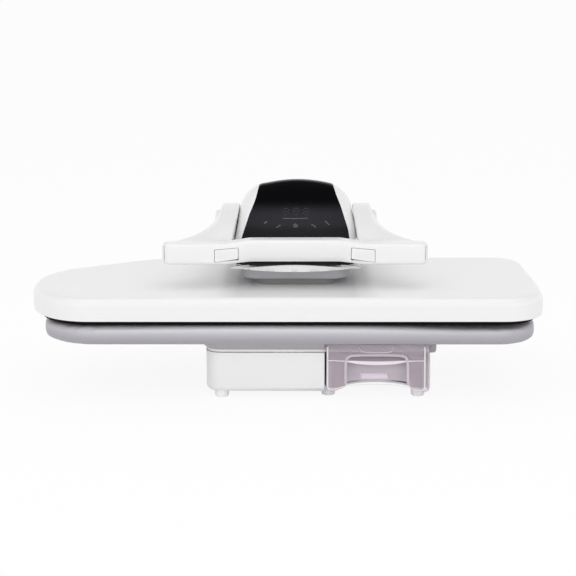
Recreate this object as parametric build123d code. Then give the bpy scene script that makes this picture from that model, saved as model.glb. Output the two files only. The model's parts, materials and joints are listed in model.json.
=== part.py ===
from build123d import *
import math
import os

# Steam ironing press, closed and at rest on its feet.
# X runs along the board (narrow nose at -X), the user stands at -Y, Z is up.
# The shapes are drawn with Y = 0 on the middle of the plates, and each piece is
# moved by PLATE_X and PLATE_Y when it is written, so that the origin is the middle of
# the footprint.
PLATE_X = -5.31
PLATE_Y = -31.75

# plates and ironing board: corners in plan, counterclockwise from the front right,
# each with the radius that rounds it
LID_PLAN = (
    (326.0, -130.5, 54.0),
    (330.5, -38.0, 600.0),
    (326.0, 136.0, 40.0),
    (-169.0, 136.0, 152.0),
    (-319.5, 38.5, 97.0),
    (-319.5, -69.0, 120.0),
    (-269.0, -130.5, 74.0),
)
BOARD_PLAN = (
    (320.0, -122.5, 52.0),
    (323.2, -38.0, 600.0),
    (320.0, 128.0, 31.0),
    (-167.0, 128.0, 144.0),
    (-302.5, 36.0, 80.0),
    (-302.5, -79.0, 44.0),
    (-266.0, -122.5, 79.0),
)
LID_BOTTOM = 105.0
LID_TOP = 134.0
LID_WALL = 2.6
LID_EDGE_R = 10.0
SOLE_Z = 98.6
SOLE_T = 8.0
SOLE_INSET = 1.2
BOARD_BOTTOM = 72.0
BOARD_TOP = 98.3
BOARD_DROP_LEFT = 2.4
BOARD_DROP_RIGHT = 4.6
CLOTH_T = 1.5
STEAM_HOLE_R = 1.7

# base housing
BASE_LEFT = -94.0
BASE_RIGHT = 187.0
BASE_FRONT = -105.0
BASE_BACK = 192.0
BASE_BOTTOM = 13.5
BASE_TOP = 60.5
BASE_WALL = 2.8
BASE_LIP = 12.0
BASE_CORNER_R = 19.0
FLOOR_Z = 11.0
DECK_T = 2.2
RAIL_Z = 57.0
FOOT_R = 9.5
FOOT_H = 11.0
BAY_LEFT = 55.0
BAY_BACK = 46.0
BAY_WALL = 2.5
PUMP_Z = 37.0
CORD_X = -60.0
CORD_Z = 34.0
SOCKET_X = 120.0
SOCKET_Z = 26.0

# water tank
TANK_LEFT = 57.0
TANK_RIGHT = 186.0
TANK_FRONT = -108.0
TANK_BACK = 38.0
TANK_BOTTOM = 14.2
TANK_RIM = 49.0
TANK_FACE_LOW = 9.6
TANK_FACE_TOP = 70.5
TANK_FACE_T = 2.6
TANK_WALL = 2.2
PULL_DEPTH = 18.0
TANK_TRAVEL = 175.0

# rear column and main hinge
HEAD_X = 18.0
HINGE_Y = 162.0
HINGE_Z = 172.0
HINGE_PIN_R = 6.0
COLUMN_HALF = 72.0
COLUMN_FRONT = 138.5
COLUMN_TOP = 190.0

# lever frame with the grip
GRIP_HALF = 166.0
GRIP_FRONT = -88.0
GRIP_BACK = -62.0
GRIP_SIDE_Z = (167.5, 194.2)
GRIP_MID_Z = (174.2, 198.6)
GRIP_RAMP = (56.0, 86.0)
GRIP_EDGE_R = 4.5
GRIP_END_R = 11.0
LEVER_WALL = 3.0
ARM_INNER = 77.4
BAR_IN = 88.5
BAR_OUT = 94.5
KNUCKLE_OUT = 101.0
KNUCKLE_R = 17.0
ARM_RIDGE = 98.0
CAP_OUTER = 107.5
CAP_R = 20.0
PIVOT_Y = 62.0
PIVOT_Z = 192.0
PIVOT_R = 5.0
BUTTON_IN = 70.0
BUTTON_OUT = 100.0
BUTTON_GAP = 0.5
BUTTON_PROUD = 1.2
BUTTON_TRAVEL = 2.0
RUN_FIT = 0.05

# pressing head
HEAD_BASE = 152.0
HEAD_WALL = 2.5
HEAD_BASE_HALF = 83.0
BRIM_H = 11.0
BRIM_FRONT = -74.0
BRIM_SAG = 27.0
PANEL_T = 2.4
HEAD_GAP = 1.7
STEP_Z = 142.0

# How much narrower the head gets for each millimetre of height, and where its top
# line runs, front to back: Y, height, half width of the crown, sag of the crown,
# shoulder drop below the crown's edge.
SIDE_DRAFT = 0.146
DOME_LINE = (
    (-56.0, 164.0, 74.0, 2.5, 4.0),
    (-38.0, 179.0, 70.5, 4.0, 6.5),
    (-20.0, 192.5, 66.5, 5.0, 8.0),
    (5.0, 214.0, 59.0, 5.5, 13.0),
    (30.0, 235.0, 52.0, 5.5, 19.0),
    (50.0, 248.0, 49.0, 5.5, 24.0),
    (68.0, 252.8, 47.0, 5.5, 26.0),
    (90.0, 247.0, 46.0, 6.0, 24.0),
    (108.0, 227.0, 51.0, 7.0, 18.0),
    (120.0, 198.0, 58.0, 7.0, 11.0),
)

# How one arm runs, front to back: Y, outer edge, ridge height, height at the outer
# edge, underside. Its inner wall keeps HEAD_GAP from the head.
ARM_LINE = (
    (-74.0, 163.0, 192.3, 190.8, 169.5),
    (-62.0, 161.0, 193.4, 191.8, 169.5),
    (-50.0, 149.0, 196.8, 192.2, 170.0),
    (-36.0, 132.0, 201.8, 195.2, 171.0),
    (-15.0, 119.0, 208.2, 198.4, 172.5),
    (12.0, 110.0, 215.4, 201.4, 173.0),
    (38.0, 106.5, 219.6, 204.0, 172.0),
    (62.0, 105.0, 220.8, 205.0, 170.0),
    (95.0, 103.0, 215.0, 200.4, 165.0),
    (128.0, 101.5, 200.6, 190.2, 159.0),
    (152.0, 101.0, 189.0, 182.0, 156.5),
)
ARM_CORNER_R = 3.0


def block(x0, x1, y0, y1, z0, z1):
    """A box from its lowest to its highest corner."""
    size = Box(x1 - x0, y1 - y0, z1 - z0)
    return Pos((x0 + x1) / 2, (y0 + y1) / 2, (z0 + z1) / 2) * size


def rod_x(x0, x1, y, z, r):
    """A round bar along X."""
    return Pos((x0 + x1) / 2, y, z) * Rot(0, 90, 0) * Cylinder(r, abs(x1 - x0))


def rod_y(x, y0, y1, z, r):
    """A round bar along Y."""
    return Pos(x, (y0 + y1) / 2, z) * Rot(90, 0, 0) * Cylinder(r, abs(y1 - y0))


def rod_z(x, y, z0, z1, r):
    """A round bar along Z."""
    return Pos(x, y, (z0 + z1) / 2) * Cylinder(r, z1 - z0)


def prism(outline, z0, z1):
    """A flat outline given thickness upwards."""
    return extrude(Pos(0, 0, z0) * outline, z1 - z0)


def rounded_slab(x0, x1, y0, y1, z0, z1, r):
    """A plate with rounded upright corners."""
    face = Pos((x0 + x1) / 2, (y0 + y1) / 2) * RectangleRounded(x1 - x0, y1 - y0, r)
    return prism(face, z0, z1)


def mirrored(shape):
    """The same shape on the other side of the head's middle plane."""
    return Pos(2 * HEAD_X, 0, 0) * mirror(shape, about=Plane.YZ)


def pair(shape):
    """A shape and its mirror image as one group."""
    return shape + mirrored(shape)


def inward(corners, inset):
    """Corners of a counterclockwise outline, moved inwards by an inset."""
    moved = []
    count = len(corners)
    for i, (x, y) in enumerate(corners):
        before = corners[i - 1]
        after = corners[(i + 1) % count]
        along_in = Vector(x - before[0], y - before[1]).normalized()
        along_out = Vector(after[0] - x, after[1] - y).normalized()
        in_a = Vector(-along_in.Y, along_in.X)
        in_b = Vector(-along_out.Y, along_out.X)
        step = (in_a + in_b) * (inset / (1 + in_a.dot(in_b)))
        moved.append((x + step.X, y + step.Y))
    return moved


def plan(places, inset):
    """Rounded outline through the corners of a plan, moved inwards by an inset."""
    corners = [(x, y) for x, y, r in places]
    radii = [r - inset for x, y, r in places]
    ring = FilletPolyline(*inward(corners, inset), radius=radii, close=True)
    return make_face(ring)


def crown_prism(bottom, lower):
    """Block whose top follows the padded board, highest near the middle."""
    left = (BOARD_PLAN[4][0] - 10, BOARD_TOP - BOARD_DROP_LEFT - lower)
    mid = (-20.0, BOARD_TOP - lower)
    right = (BOARD_PLAN[1][0] + 5, BOARD_TOP - BOARD_DROP_RIGHT - lower)
    top = ThreePointArc(left, mid, right)
    rest = Polyline(right, (right[0], bottom), (left[0], bottom), left)
    face = Plane.XZ * make_face(top + rest)
    return extrude(face, 200, both=True)


def board_body(inset, bottom, lower, bottom_r):
    """The padded board's outer form, smaller by an inset and a lowering."""
    body = prism(plan(BOARD_PLAN, inset), bottom, BOARD_TOP + 2)
    body = body & crown_prism(bottom - 1, lower)
    if bottom_r:
        body = fillet(body.faces().sort_by(Axis.Z)[0].edges(), bottom_r)
    return body


def board_cover():
    """Cloth drawn over the pad and gathered in under the pan."""
    outer = board_body(0, BOARD_BOTTOM, 0, 9.0)
    inner = board_body(CLOTH_T, BOARD_BOTTOM + CLOTH_T, CLOTH_T, 7.6)
    opening = prism(plan(BOARD_PLAN, 26), BOARD_BOTTOM - 1, BOARD_BOTTOM + 3)
    return outer - inner - opening


def board_foam():
    """Foam pad that fills the pan and carries the cloth."""
    body = board_body(CLOTH_T + 0.2, BOARD_BOTTOM + 12, CLOTH_T + 0.1, 0)
    return body


def board_pan():
    """Pressed steel tray with a rolled rim, seated on the collar."""
    bottom = BOARD_BOTTOM + CLOTH_T
    tray = prism(plan(BOARD_PLAN, 4.5), bottom, BOARD_BOTTOM + 12)
    tray = fillet(tray.faces().sort_by(Axis.Z)[0].edges(), 5.0)
    hollow = prism(plan(BOARD_PLAN, 6.0), bottom + 1.5, BOARD_BOTTOM + 12)
    seat = rounded_slab(-86, 182, -95, 100, BOARD_BOTTOM, bottom + 1.0, 16)
    ribs = Part()
    for x in (-230.0, -160.0, 230.0):
        ribs += rounded_slab(x - 6, x + 6, -60, 60, bottom, bottom + 4.5, 5)
    return (tray - hollow) + seat + ribs


def heating_plate():
    """Cast sole plate with steam holes and a raised chamber rim."""
    top = SOLE_Z + SOLE_T
    sole = prism(plan(BOARD_PLAN, SOLE_INSET), SOLE_Z, top)
    sole = chamfer(sole.faces().sort_by(Axis.Z)[0].edges(), 1.2)
    rim = rounded_slab(-150, 186, -64, 70, top, top + 12, 14)
    rim -= rounded_slab(-144, 180, -58, 64, top, top + 12, 8)
    sole += rim
    holes = Part()
    for row in range(4):
        y = -42 + row * 30
        for col in range(11):
            x = -132 + col * 30 + (row % 2) * 15
            holes += rod_z(x, y, SOLE_Z - 1, top + 1, STEAM_HOLE_R)
    return sole - holes


def steam_chamber_cover():
    """Plate that closes the steam chamber, with an inlet boss."""
    z = SOLE_Z + SOLE_T + 12
    cover = rounded_slab(-150, 186, -64, 70, z, z + 2, 14)
    boss = rod_z(HEAD_X + 40, 20, z + 2, z + 5, 8)
    return cover + boss - rod_z(HEAD_X + 40, 20, z - 1, z + 6, 3)


def heating_element():
    """Tube heater bent round the steam chamber."""
    z = SOLE_Z + SOLE_T + 4.2
    path = FilletPolyline(
        (205, 12, z), (205, -96, z), (-215, -96, z), (-215, 92, z), (205, 92, z), (205, 34, z),
        radius=32)
    ring = Plane(origin=path @ 0, z_dir=path % 0) * Circle(4.2)
    return sweep(ring, path=path)


def thermostat():
    """Disc thermostat screwed to the sole plate."""
    z = SOLE_Z + SOLE_T
    body = rod_z(-182, 0, z, z + 8, 9)
    flange = rounded_slab(-196, -168, -6, 6, z, z + 1.5, 5)
    tags = block(-186, -184, -3, 3, z + 8, z + 14) + block(-180, -178, -3, 3, z + 8, z + 14)
    return body + flange + tags


def thermal_fuse():
    """Thermal cut-out in its clamp."""
    z = SOLE_Z + SOLE_T
    can = rod_y(250, -16, 16, z + 3.5, 2.5)
    clamp = block(246, 254, -5, 5, z, z + 7)
    return can + clamp


def insulation_mat():
    """Heat mat between the steam chamber and the lid."""
    z = SOLE_Z + SOLE_T + 14
    mat = rounded_slab(-190, 224, -92, 98, z, z + 4, 20)
    mat -= rod_z(HEAD_X + 40, 20, z - 1, z + 5, 10)
    for x, y in stud_places():
        mat -= rod_z(x, y, z - 1, z + 5, 8)
    return mat


def stud_places():
    """Four studs that tie the sole plate to the head."""
    places = []
    for x in (HEAD_X - 42, HEAD_X + 42):
        for y in (-30.0, 78.0):
            places.append((x, y))
    return places


def plate_studs():
    """Studs from the chamber cover up to the head frame."""
    z = SOLE_Z + SOLE_T + 14
    studs = Part()
    for x, y in stud_places():
        studs += rod_z(x, y, z, HEAD_BASE + 6, 4)
    return studs


def lid():
    """Moulded lid over the hot plate, open underneath."""
    body = prism(plan(LID_PLAN, 0), LID_BOTTOM, LID_TOP)
    body = fillet(body.faces().sort_by(Axis.Z)[-1].edges(), LID_EDGE_R)
    body = fillet(body.faces().sort_by(Axis.Z)[0].edges(), 1.2)
    hollow = prism(plan(LID_PLAN, LID_WALL), LID_BOTTOM - 1, LID_TOP - LID_WALL)
    hollow = fillet(hollow.faces().sort_by(Axis.Z)[-1].edges(), LID_EDGE_R - LID_WALL)
    body -= hollow
    for x, y in stud_places():
        body += rod_z(x, y, SOLE_Z + SOLE_T + 14, LID_TOP - 1, 7.5)
        body -= rod_z(x, y, SOLE_Z, LID_TOP + 1, 4.3)
    return body - rod_z(HEAD_X + 40, 20, LID_TOP - 10, LID_TOP + 1, 9)


def pedestal_foot():
    """Dark heat shield block between the lid and the head."""
    body = rounded_slab(HEAD_X - 52, HEAD_X + 52, -47, 96, LID_TOP, STEP_Z, 18)
    for x, y in stud_places():
        body -= rod_z(x, y, LID_TOP - 1, STEP_Z + 1, 4.3)
    return body - rod_z(HEAD_X + 40, 20, LID_TOP - 1, STEP_Z + 1, 9)


def pedestal_step():
    """Grey spacer under the head, wider than the foot below it."""
    body = rounded_slab(HEAD_X - 70, HEAD_X + 70, -53, 104, STEP_Z, HEAD_BASE, 24)
    body = fillet(body.faces().sort_by(Axis.Z)[0].edges(), 3.0)
    for x, y in stud_places():
        body -= rod_z(x, y, STEP_Z - 1, HEAD_BASE + 1, 4.3)
    return body - rod_z(HEAD_X + 40, 20, STEP_Z - 1, HEAD_BASE + 1, 9)


def dome_section(y, top, crown, sag, drop, inset):
    """One slice across the head, drawn upright at a given Y."""
    z_top = top - inset
    crown_in = crown - inset * 0.6
    foot = HEAD_BASE_HALF - inset
    z_crown = z_top - sag
    z_side = z_crown - drop
    side = foot - SIDE_DRAFT * (z_side - HEAD_BASE)
    z_foot = HEAD_BASE - (1.0 if inset else 0.0)
    mx = side - (side - crown_in) * 0.33
    mz = z_crown - drop * 0.46
    outline = [
        Line((-foot, z_foot), (foot, z_foot)),
        Line((foot, z_foot), (side, z_side)),
        ThreePointArc((side, z_side), (mx, mz), (crown_in, z_crown)),
        ThreePointArc((crown_in, z_crown), (0, z_top), (-crown_in, z_crown)),
        ThreePointArc((-crown_in, z_crown), (-mx, mz), (-side, z_side)),
        Line((-side, z_side), (-foot, z_foot)),
    ]
    face = make_face(Curve() + outline)
    upright = Plane(origin=(HEAD_X, y, 0), x_dir=(1, 0, 0), z_dir=(0, -1, 0))
    return upright * face


def dome(inset):
    """The head's outer form, or the same form smaller all round."""
    slices = []
    last = len(DOME_LINE) - 1
    for i, (y, *shape) in enumerate(DOME_LINE):
        shift = inset if i == 0 else (-inset if i == last else 0)
        slices.append(dome_section(y + shift, *shape, inset))
    return loft(slices)


def panel_prism():
    """Upright prism whose plan is the black panel's outline."""
    right = Spline((73.5, -62), (70.2, -20), (63.6, 3), (55.6, 31), (48.6, 74))
    left = Spline((-48.6, 74), (-55.6, 31), (-63.6, 3), (-70.2, -20), (-73.5, -62))
    back = Line((48.6, 74), (-48.6, 74))
    front = Line((-73.5, -62), (73.5, -62))
    face = make_face(right + back + left + front)
    return Pos(HEAD_X, 0, 0) * prism(face, HEAD_BASE + BRIM_H - 1.0, 262)


def brim():
    """Chin under the panel: curved in plan, thin at both ends."""
    half = HEAD_BASE_HALF + 2
    y_end = BRIM_FRONT + BRIM_SAG
    front = ThreePointArc((-half, y_end), (0, BRIM_FRONT), (half, y_end))
    rest = Polyline((half, y_end), (half - 4, 0), (-half + 4, 0), (-half, y_end))
    plan = Pos(HEAD_X, 0, 0) * prism(make_face(front + rest), HEAD_BASE, HEAD_BASE + 20)
    top = ThreePointArc((-half, HEAD_BASE + 0.8), (0, HEAD_BASE + BRIM_H), (half, HEAD_BASE + 0.8))
    base = Polyline((half, HEAD_BASE + 0.8), (half, HEAD_BASE), (-half, HEAD_BASE),
                    (-half, HEAD_BASE + 0.8))
    lens = Pos(HEAD_X, 0, 0) * extrude(Plane.XZ * make_face(top + base), 120, both=True)
    return plan & lens


def head_housing():
    """Moulded head with its chin, panel window and pin holes."""
    body = dome(0) + brim()
    body -= dome(HEAD_WALL)
    body -= panel_prism()
    half = HEAD_BASE_HALF + 10
    body -= rod_x(HEAD_X - half, HEAD_X + half, PIVOT_Y, PIVOT_Z, PIVOT_R + 1.5)
    return body


def control_panel():
    """Glossy black panel that fills the head's window."""
    skin = dome(0) - dome(PANEL_T)
    return skin & panel_prism()


def head_frame():
    """Steel bracket that hangs the hot plate from the cross pin."""
    z = HEAD_BASE
    floor = rounded_slab(HEAD_X - 66, HEAD_X + 66, -40, 96, z, z + 3, 10)
    floor -= rounded_slab(HEAD_X - 26, HEAD_X + 26, -10, 60, z - 1, z + 4, 8)
    floor -= rod_z(HEAD_X + 40, 20, z - 1, z + 4, 9)
    side = make_face(Polyline((20, z), (96, z), (84, 200), (40, 200), (20, z)))
    cheek = extrude(Plane.YZ * side, 4)
    cheek = Pos(HEAD_X + 61, 0, 0) * cheek
    frame = floor + pair(cheek)
    for x, y in stud_places():
        frame -= rod_z(x, y, z - 1, z + 4, 4.1)
    frame -= rod_x(HEAD_X - 90, HEAD_X + 90, PIVOT_Y, PIVOT_Z, PIVOT_R + RUN_FIT)
    return frame


def stud_nuts():
    """Nuts that clamp the head frame to the studs."""
    nuts = Part()
    for x, y in stud_places():
        nut = prism(RegularPolygon(6.5, 6), HEAD_BASE + 3, HEAD_BASE + 6)
        nuts += Pos(x, y, 0) * nut - rod_z(x, y, HEAD_BASE, HEAD_BASE + 8, 4.0)
    return nuts


def slope_frame(y, lower):
    """Plane that lies along the panel's slope, a given depth below it."""
    slope = math.degrees(math.atan2(214.0 - 192.5, 25.0))
    z = 192.5 + (y + 20.0) * math.tan(math.radians(slope)) - lower
    return Pos(HEAD_X, y, z) * Rot(slope, 0, 0)


def control_board():
    """Circuit board under the panel with its touch springs."""
    place = slope_frame(-2, 11.5)
    board = place * Box(104, 60, 1.6)
    keys = Part()
    for x in (-39.0, -22.0, 0.0, 22.0, 39.0):
        keys += place * Pos(x, -12, 2.3) * Cylinder(4.5, 3.0)
    chip = place * Pos(-34, 14, -1.8) * Box(14, 14, 2.0)
    plug = place * Pos(30, 20, -3.8) * Box(18, 8, 6.0)
    return board + keys + chip + plug


def display_module():
    """Three-digit display on the circuit board."""
    place = slope_frame(-2, 11.5)
    return place * Pos(0, 16, 3.3) * Box(38, 16, 5.0)


def steam_inlet():
    """Brass elbow that lets water into the steam chamber."""
    z = SOLE_Z + SOLE_T + 17
    stem = rod_z(HEAD_X + 40, 20, z, HEAD_BASE + 10, 4.5)
    elbow = rod_y(HEAD_X + 40, 20, 40, HEAD_BASE + 10, 4.5)
    ball = Pos(HEAD_X + 40, 20, HEAD_BASE + 10) * Sphere(4.5)
    barb = rod_y(HEAD_X + 40, 40, 50, HEAD_BASE + 10, 3.2)
    return stem + elbow + ball + barb


def beside_head(z):
    """Distance from the middle plane to an arm's inner wall at a height."""
    return HEAD_BASE_HALF + HEAD_GAP - SIDE_DRAFT * (z - HEAD_BASE)


def arm_section(y, outer, ridge, edge, under, inset):
    """One slice across an arm: high inner ridge, flank falling outwards."""
    u2 = outer - inset
    u1 = ARM_RIDGE - inset
    z1 = ridge - inset
    z2 = edge - inset
    z0 = under - (20 if inset else 0)
    low = beside_head(under) + inset
    u0 = beside_head(ridge) + inset
    points = [(low, z0), (u2, z0), (u2, z2), (u1, z1), (u0, z1)]
    face = make_face(Polyline(*points, points[0]))
    face = fillet(face.vertices(), ARM_CORNER_R)
    upright = Plane(origin=(HEAD_X, y, 0), x_dir=(1, 0, 0), z_dir=(0, -1, 0))
    return upright * face


def arm(inset):
    """One side arm, from the grip over the crest to the hinge."""
    slices = [arm_section(*row, inset) for row in ARM_LINE]
    return loft(slices)


def grip_profile(inset):
    """Front view of the grip: raised middle, ramps and flat ends."""
    r0, r1 = GRIP_RAMP
    low_s, high_s = GRIP_SIDE_Z
    low_m, high_m = GRIP_MID_Z
    end = GRIP_HALF - inset
    top = [(end, high_s - inset), (r1, high_s - inset), (r0, high_m - inset)]
    drop = 20 if inset else 0
    low = [(r0, low_m - drop), (r1, low_s - drop), (end, low_s - drop)]
    right = top[::-1] + low[::-1]
    left = [(-x, z) for x, z in right[::-1]]
    points = right + left
    face = make_face(Polyline(*points, points[0]))
    bends = [v for v in face.vertices() if abs(v.X) < end - 1]
    return fillet(bends, 30.0)


def grip(inset):
    """The grip bar as a solid."""
    depth = GRIP_BACK - GRIP_FRONT - 2 * inset
    bar = extrude(Plane.XZ * grip_profile(inset), depth)
    return Pos(HEAD_X, GRIP_BACK - inset, 0) * bar


def soft_grip():
    """The grip bar with its edges and ends rounded for the hand."""
    bar = fillet(grip(0).edges().filter_by(Axis.Z), GRIP_END_R)
    rims = []
    for edge in bar.edges():
        run = edge.tangent_at(0.5)
        across = abs(run.Y) > 0.99 and abs(edge.center().X - HEAD_X) < GRIP_HALF - GRIP_END_R
        if abs(run.Z) < 0.9 and not across:
            rims.append(edge)
    return fillet(rims, GRIP_EDGE_R)


def lever_form():
    """Grip, both arms and the hinge knuckles in one form."""
    knuckle = rod_x(HEAD_X + ARM_INNER, HEAD_X + KNUCKLE_OUT, HINGE_Y, HINGE_Z, KNUCKLE_R)
    knuckle = fillet(knuckle.edges().filter_by(GeomType.CIRCLE), 2.0)
    side = arm(0) + knuckle
    return soft_grip() + side + mirrored(side)


def arm_hollow():
    """Room inside one arm, open below and running into the grip."""
    room = Pos(0, -0.6, 0) * arm(LEVER_WALL)
    return room & block(0, 300, GRIP_FRONT + 13, 142, 120, 260)


def knuckle_slot():
    """Slot that lets the steel bar into the knuckle."""
    x0 = HEAD_X + BAR_IN - 0.3
    x1 = HEAD_X + BAR_OUT + 0.3
    slot = rod_x(x0, x1, HINGE_Y, HINGE_Z, KNUCKLE_R - 3.6)
    slot += block(x0, x1, 130, HINGE_Y + 6, 150, HINGE_Z)
    return slot + block(x0, x1, 130, HINGE_Y - 2, 150, HINGE_Z + 13.6)


def button_face(gap):
    """Slanted outline of a steam button on the grip's ramp."""
    points = [
        (BUTTON_IN + gap, 174.8 + gap),
        (BUTTON_OUT - gap, 170.6 + gap),
        (BUTTON_OUT - gap, 187.0 - gap),
        (BUTTON_IN + gap, 189.6 - gap),
    ]
    face = make_face(Polyline(*points, points[0]))
    return fillet(face.vertices(), 1.4)


def button_well():
    """Hole in the grip's front wall for one steam button."""
    hole = extrude(Plane.XZ * button_face(0), 12)
    return Pos(HEAD_X, GRIP_FRONT + 10, 0) * hole


def handle_shell():
    """Upper shell of the lever frame, with wells for the buttons."""
    body = lever_form() - grip(LEVER_WALL)
    room = arm_hollow()
    slot = knuckle_slot()
    for hollow in (room, mirrored(room), slot, mirrored(slot)):
        body -= hollow
    body -= pair(button_well())
    bore = rod_x(HEAD_X + 60, HEAD_X + 120, PIVOT_Y, PIVOT_Z, PIVOT_R + 0.4)
    seat = rod_x(HEAD_X + ARM_RIDGE - 1, HEAD_X + 130, PIVOT_Y, PIVOT_Z, CAP_R + 0.2)
    hinge = rod_x(HEAD_X + 60, HEAD_X + 120, HINGE_Y, HINGE_Z, HINGE_PIN_R + 0.6)
    return body - pair(bore + seat + hinge)


def handle_underside():
    """Lower cover that closes the lever frame from below."""
    bar = soft_grip()
    side = arm(0)
    lift = Pos(0, 0, 2.4)
    middle = (bar & grip(LEVER_WALL)) - lift * bar
    wing = (side & arm_hollow() & block(0, 300, -100, 128, 120, 260)) - lift * side
    seat = rod_x(HEAD_X + ARM_RIDGE - 1, HEAD_X + 130, PIVOT_Y, PIVOT_Z, CAP_R + 0.2)
    wing -= seat
    return middle + wing + mirrored(wing)


def lever_bars():
    """Flat steel bars that carry the load inside the arms."""
    points = [(-63, 176), (-63, 188), (30, 204), (70, 204),
              (150, 182), (156, 160), (70, 180), (0, 178)]
    face = make_face(Polyline(*points, points[0]))
    face = fillet(face.vertices(), 5)
    bar = extrude(Plane.YZ * face, BAR_OUT - BAR_IN)
    bar = Pos(HEAD_X + BAR_IN, 0, 0) * bar
    bar += rod_x(HEAD_X + BAR_IN, HEAD_X + BAR_OUT, HINGE_Y, HINGE_Z, 13)
    bar -= rod_x(HEAD_X + 80, HEAD_X + 99, HINGE_Y, HINGE_Z, 9)
    bar -= rod_x(HEAD_X + 80, HEAD_X + 99, PIVOT_Y, PIVOT_Z, PIVOT_R)
    return pair(bar)


def hinge_bushes():
    """Bronze bushes pressed into the lever bars."""
    bush = rod_x(HEAD_X + BAR_IN - 0.3, HEAD_X + BAR_OUT + 0.3, HINGE_Y, HINGE_Z, 9)
    bush -= rod_x(HEAD_X + 80, HEAD_X + 99, HINGE_Y, HINGE_Z, HINGE_PIN_R + RUN_FIT)
    return pair(bush)


def grip_bar():
    """Flat steel bar inside the grip that ties both arms."""
    bar = block(HEAD_X - BAR_OUT, HEAD_X + BAR_OUT, -68, GRIP_BACK - LEVER_WALL, 177, 189)
    return bar


def pivot_pin():
    """Cross pin that carries the head between the arms."""
    end = ARM_RIDGE - 1
    return rod_x(HEAD_X - end, HEAD_X + end, PIVOT_Y, PIVOT_Z, PIVOT_R)


def pivot_cap():
    """Round cap over one end of the cross pin."""
    disc = rod_x(HEAD_X + ARM_RIDGE - 1, HEAD_X + CAP_OUTER, PIVOT_Y, PIVOT_Z, CAP_R)
    rim = disc.faces().sort_by(Axis.X)[-1].edges()
    return fillet(rim, 3.0)


def steam_button(side):
    """Push button with its stem, in the grip's front."""
    cap = extrude(Plane.XZ * button_face(BUTTON_GAP), 4.2)
    cap = Pos(HEAD_X, GRIP_FRONT - BUTTON_PROUD + 4.2, 0) * cap
    cap = fillet(cap.faces().sort_by(Axis.Y)[0].edges(), 0.8)
    for z in (176.2, 178.7, 181.2, 183.7):
        cap += block(HEAD_X + 74, HEAD_X + 96, GRIP_FRONT - BUTTON_PROUD - 0.35,
                     GRIP_FRONT - BUTTON_PROUD + 0.5, z, z + 0.9)
    stem = rod_y(HEAD_X + 85, GRIP_FRONT + 2.5, GRIP_FRONT + 6.6, 180, 3.0)
    button = cap + stem
    return button if side > 0 else mirrored(button)


def steam_switches():
    """Micro switches behind the steam buttons."""
    y0 = GRIP_FRONT + 6.6 + BUTTON_TRAVEL + 0.4
    body = block(HEAD_X + 77, HEAD_X + 93, y0, -68, 176, 186)
    return pair(body)


def base_outline(inset):
    """Plan of the base housing."""
    corners = (
        (BASE_RIGHT, BASE_FRONT),
        (BASE_RIGHT, BASE_BACK),
        (BASE_LEFT, BASE_BACK),
        (BASE_LEFT, BASE_FRONT),
    )
    face = make_face(Polyline(*inward(corners, inset), close=True))
    rounded = [v for v in face.vertices() if v.X < 0 or v.Y > 0]
    return fillet(rounded, BASE_CORNER_R - inset)


def base_shell():
    """Side walls of the base with a turned-in lip, and the tank's bay at the front."""
    body = prism(base_outline(0), FLOOR_Z, BASE_TOP)
    body = fillet(body.faces().sort_by(Axis.Z)[0].edges(), 7.0)
    room = prism(base_outline(BASE_WALL), BASE_BOTTOM, BASE_TOP + 1)
    room = fillet(room.faces().sort_by(Axis.Z)[0].edges(), 4.2)
    body -= room
    body -= prism(base_outline(BASE_LIP), FLOOR_Z - 1, BASE_BOTTOM + 1)
    bay_wall = BAY_LEFT - BAY_WALL
    side = block(bay_wall, BAY_LEFT, BASE_FRONT + 0.1, BAY_BACK + BAY_WALL, BASE_BOTTOM, BASE_TOP)
    rear = block(bay_wall, BASE_RIGHT - 1, BAY_BACK, BAY_BACK + BAY_WALL, BASE_BOTTOM, BASE_TOP)
    body = body + side + rear
    body -= block(BAY_LEFT, BASE_RIGHT - BASE_WALL, BASE_FRONT - 20, BAY_BACK, FLOOR_Z - 1, 90)
    body -= rod_y(SOCKET_X, BAY_BACK - 1, BAY_BACK + 4, SOCKET_Z, 9)
    body -= rod_y(CORD_X, BASE_BACK - 5, BASE_BACK + 1, CORD_Z, 7)
    return body


def base_floor():
    """Bottom cover with vent slots and a finger arch before the tank."""
    body = prism(base_outline(BASE_LIP + 0.2), FLOOR_Z, BASE_BOTTOM)
    body += rounded_slab(BAY_LEFT + 6, BASE_RIGHT - 4, BASE_FRONT + 3, BAY_BACK - 0.4,
                         FLOOR_Z, BASE_BOTTOM, 12)
    arch = Pos(120, BASE_FRONT - 22, 0) * Cylinder(58, 60)
    slots = Part()
    for i in range(9):
        x = -66 + i * 11
        slots += rounded_slab(x, x + 4, 60, 110, FLOOR_Z - 1, BASE_BOTTOM + 1, 1.9)
    for x, y in screw_places():
        body -= rod_z(x, y, FLOOR_Z - 1, BASE_BOTTOM + 1, 1.7)
    return body - arch - slots


def screw_places():
    """Where screws hold the bottom cover."""
    return ((-50, -86), (28, -86), (-76, 60), (-76, 140), (110, 174), (168, 110), (-24, 174))


def feet():
    """Six soft feet under the base."""
    group = Part()
    places = ((-74.5, -93), (60.0, -84), (173.0, -88), (-74, 172), (48, 176), (170, 172))
    for x, y in places:
        foot = Cone(FOOT_R - 1.2, FOOT_R, FOOT_H, align=(Align.CENTER, Align.CENTER, Align.MIN))
        foot = fillet(foot.faces().sort_by(Axis.Z)[0].edges(), 1.5)
        group += Pos(x, y, 0) * foot
    return group


def base_deck():
    """Top cover of the base, let in behind the wall's rim."""
    body = prism(base_outline(1.4), BASE_TOP, BASE_TOP + DECK_T)
    body = fillet(body.faces().sort_by(Axis.Z)[-1].edges(), 1.2)
    column = block(HEAD_X - 58, HEAD_X + 58, 142, 184, BASE_TOP - 1, BASE_TOP + DECK_T + 1)
    return body - column


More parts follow.
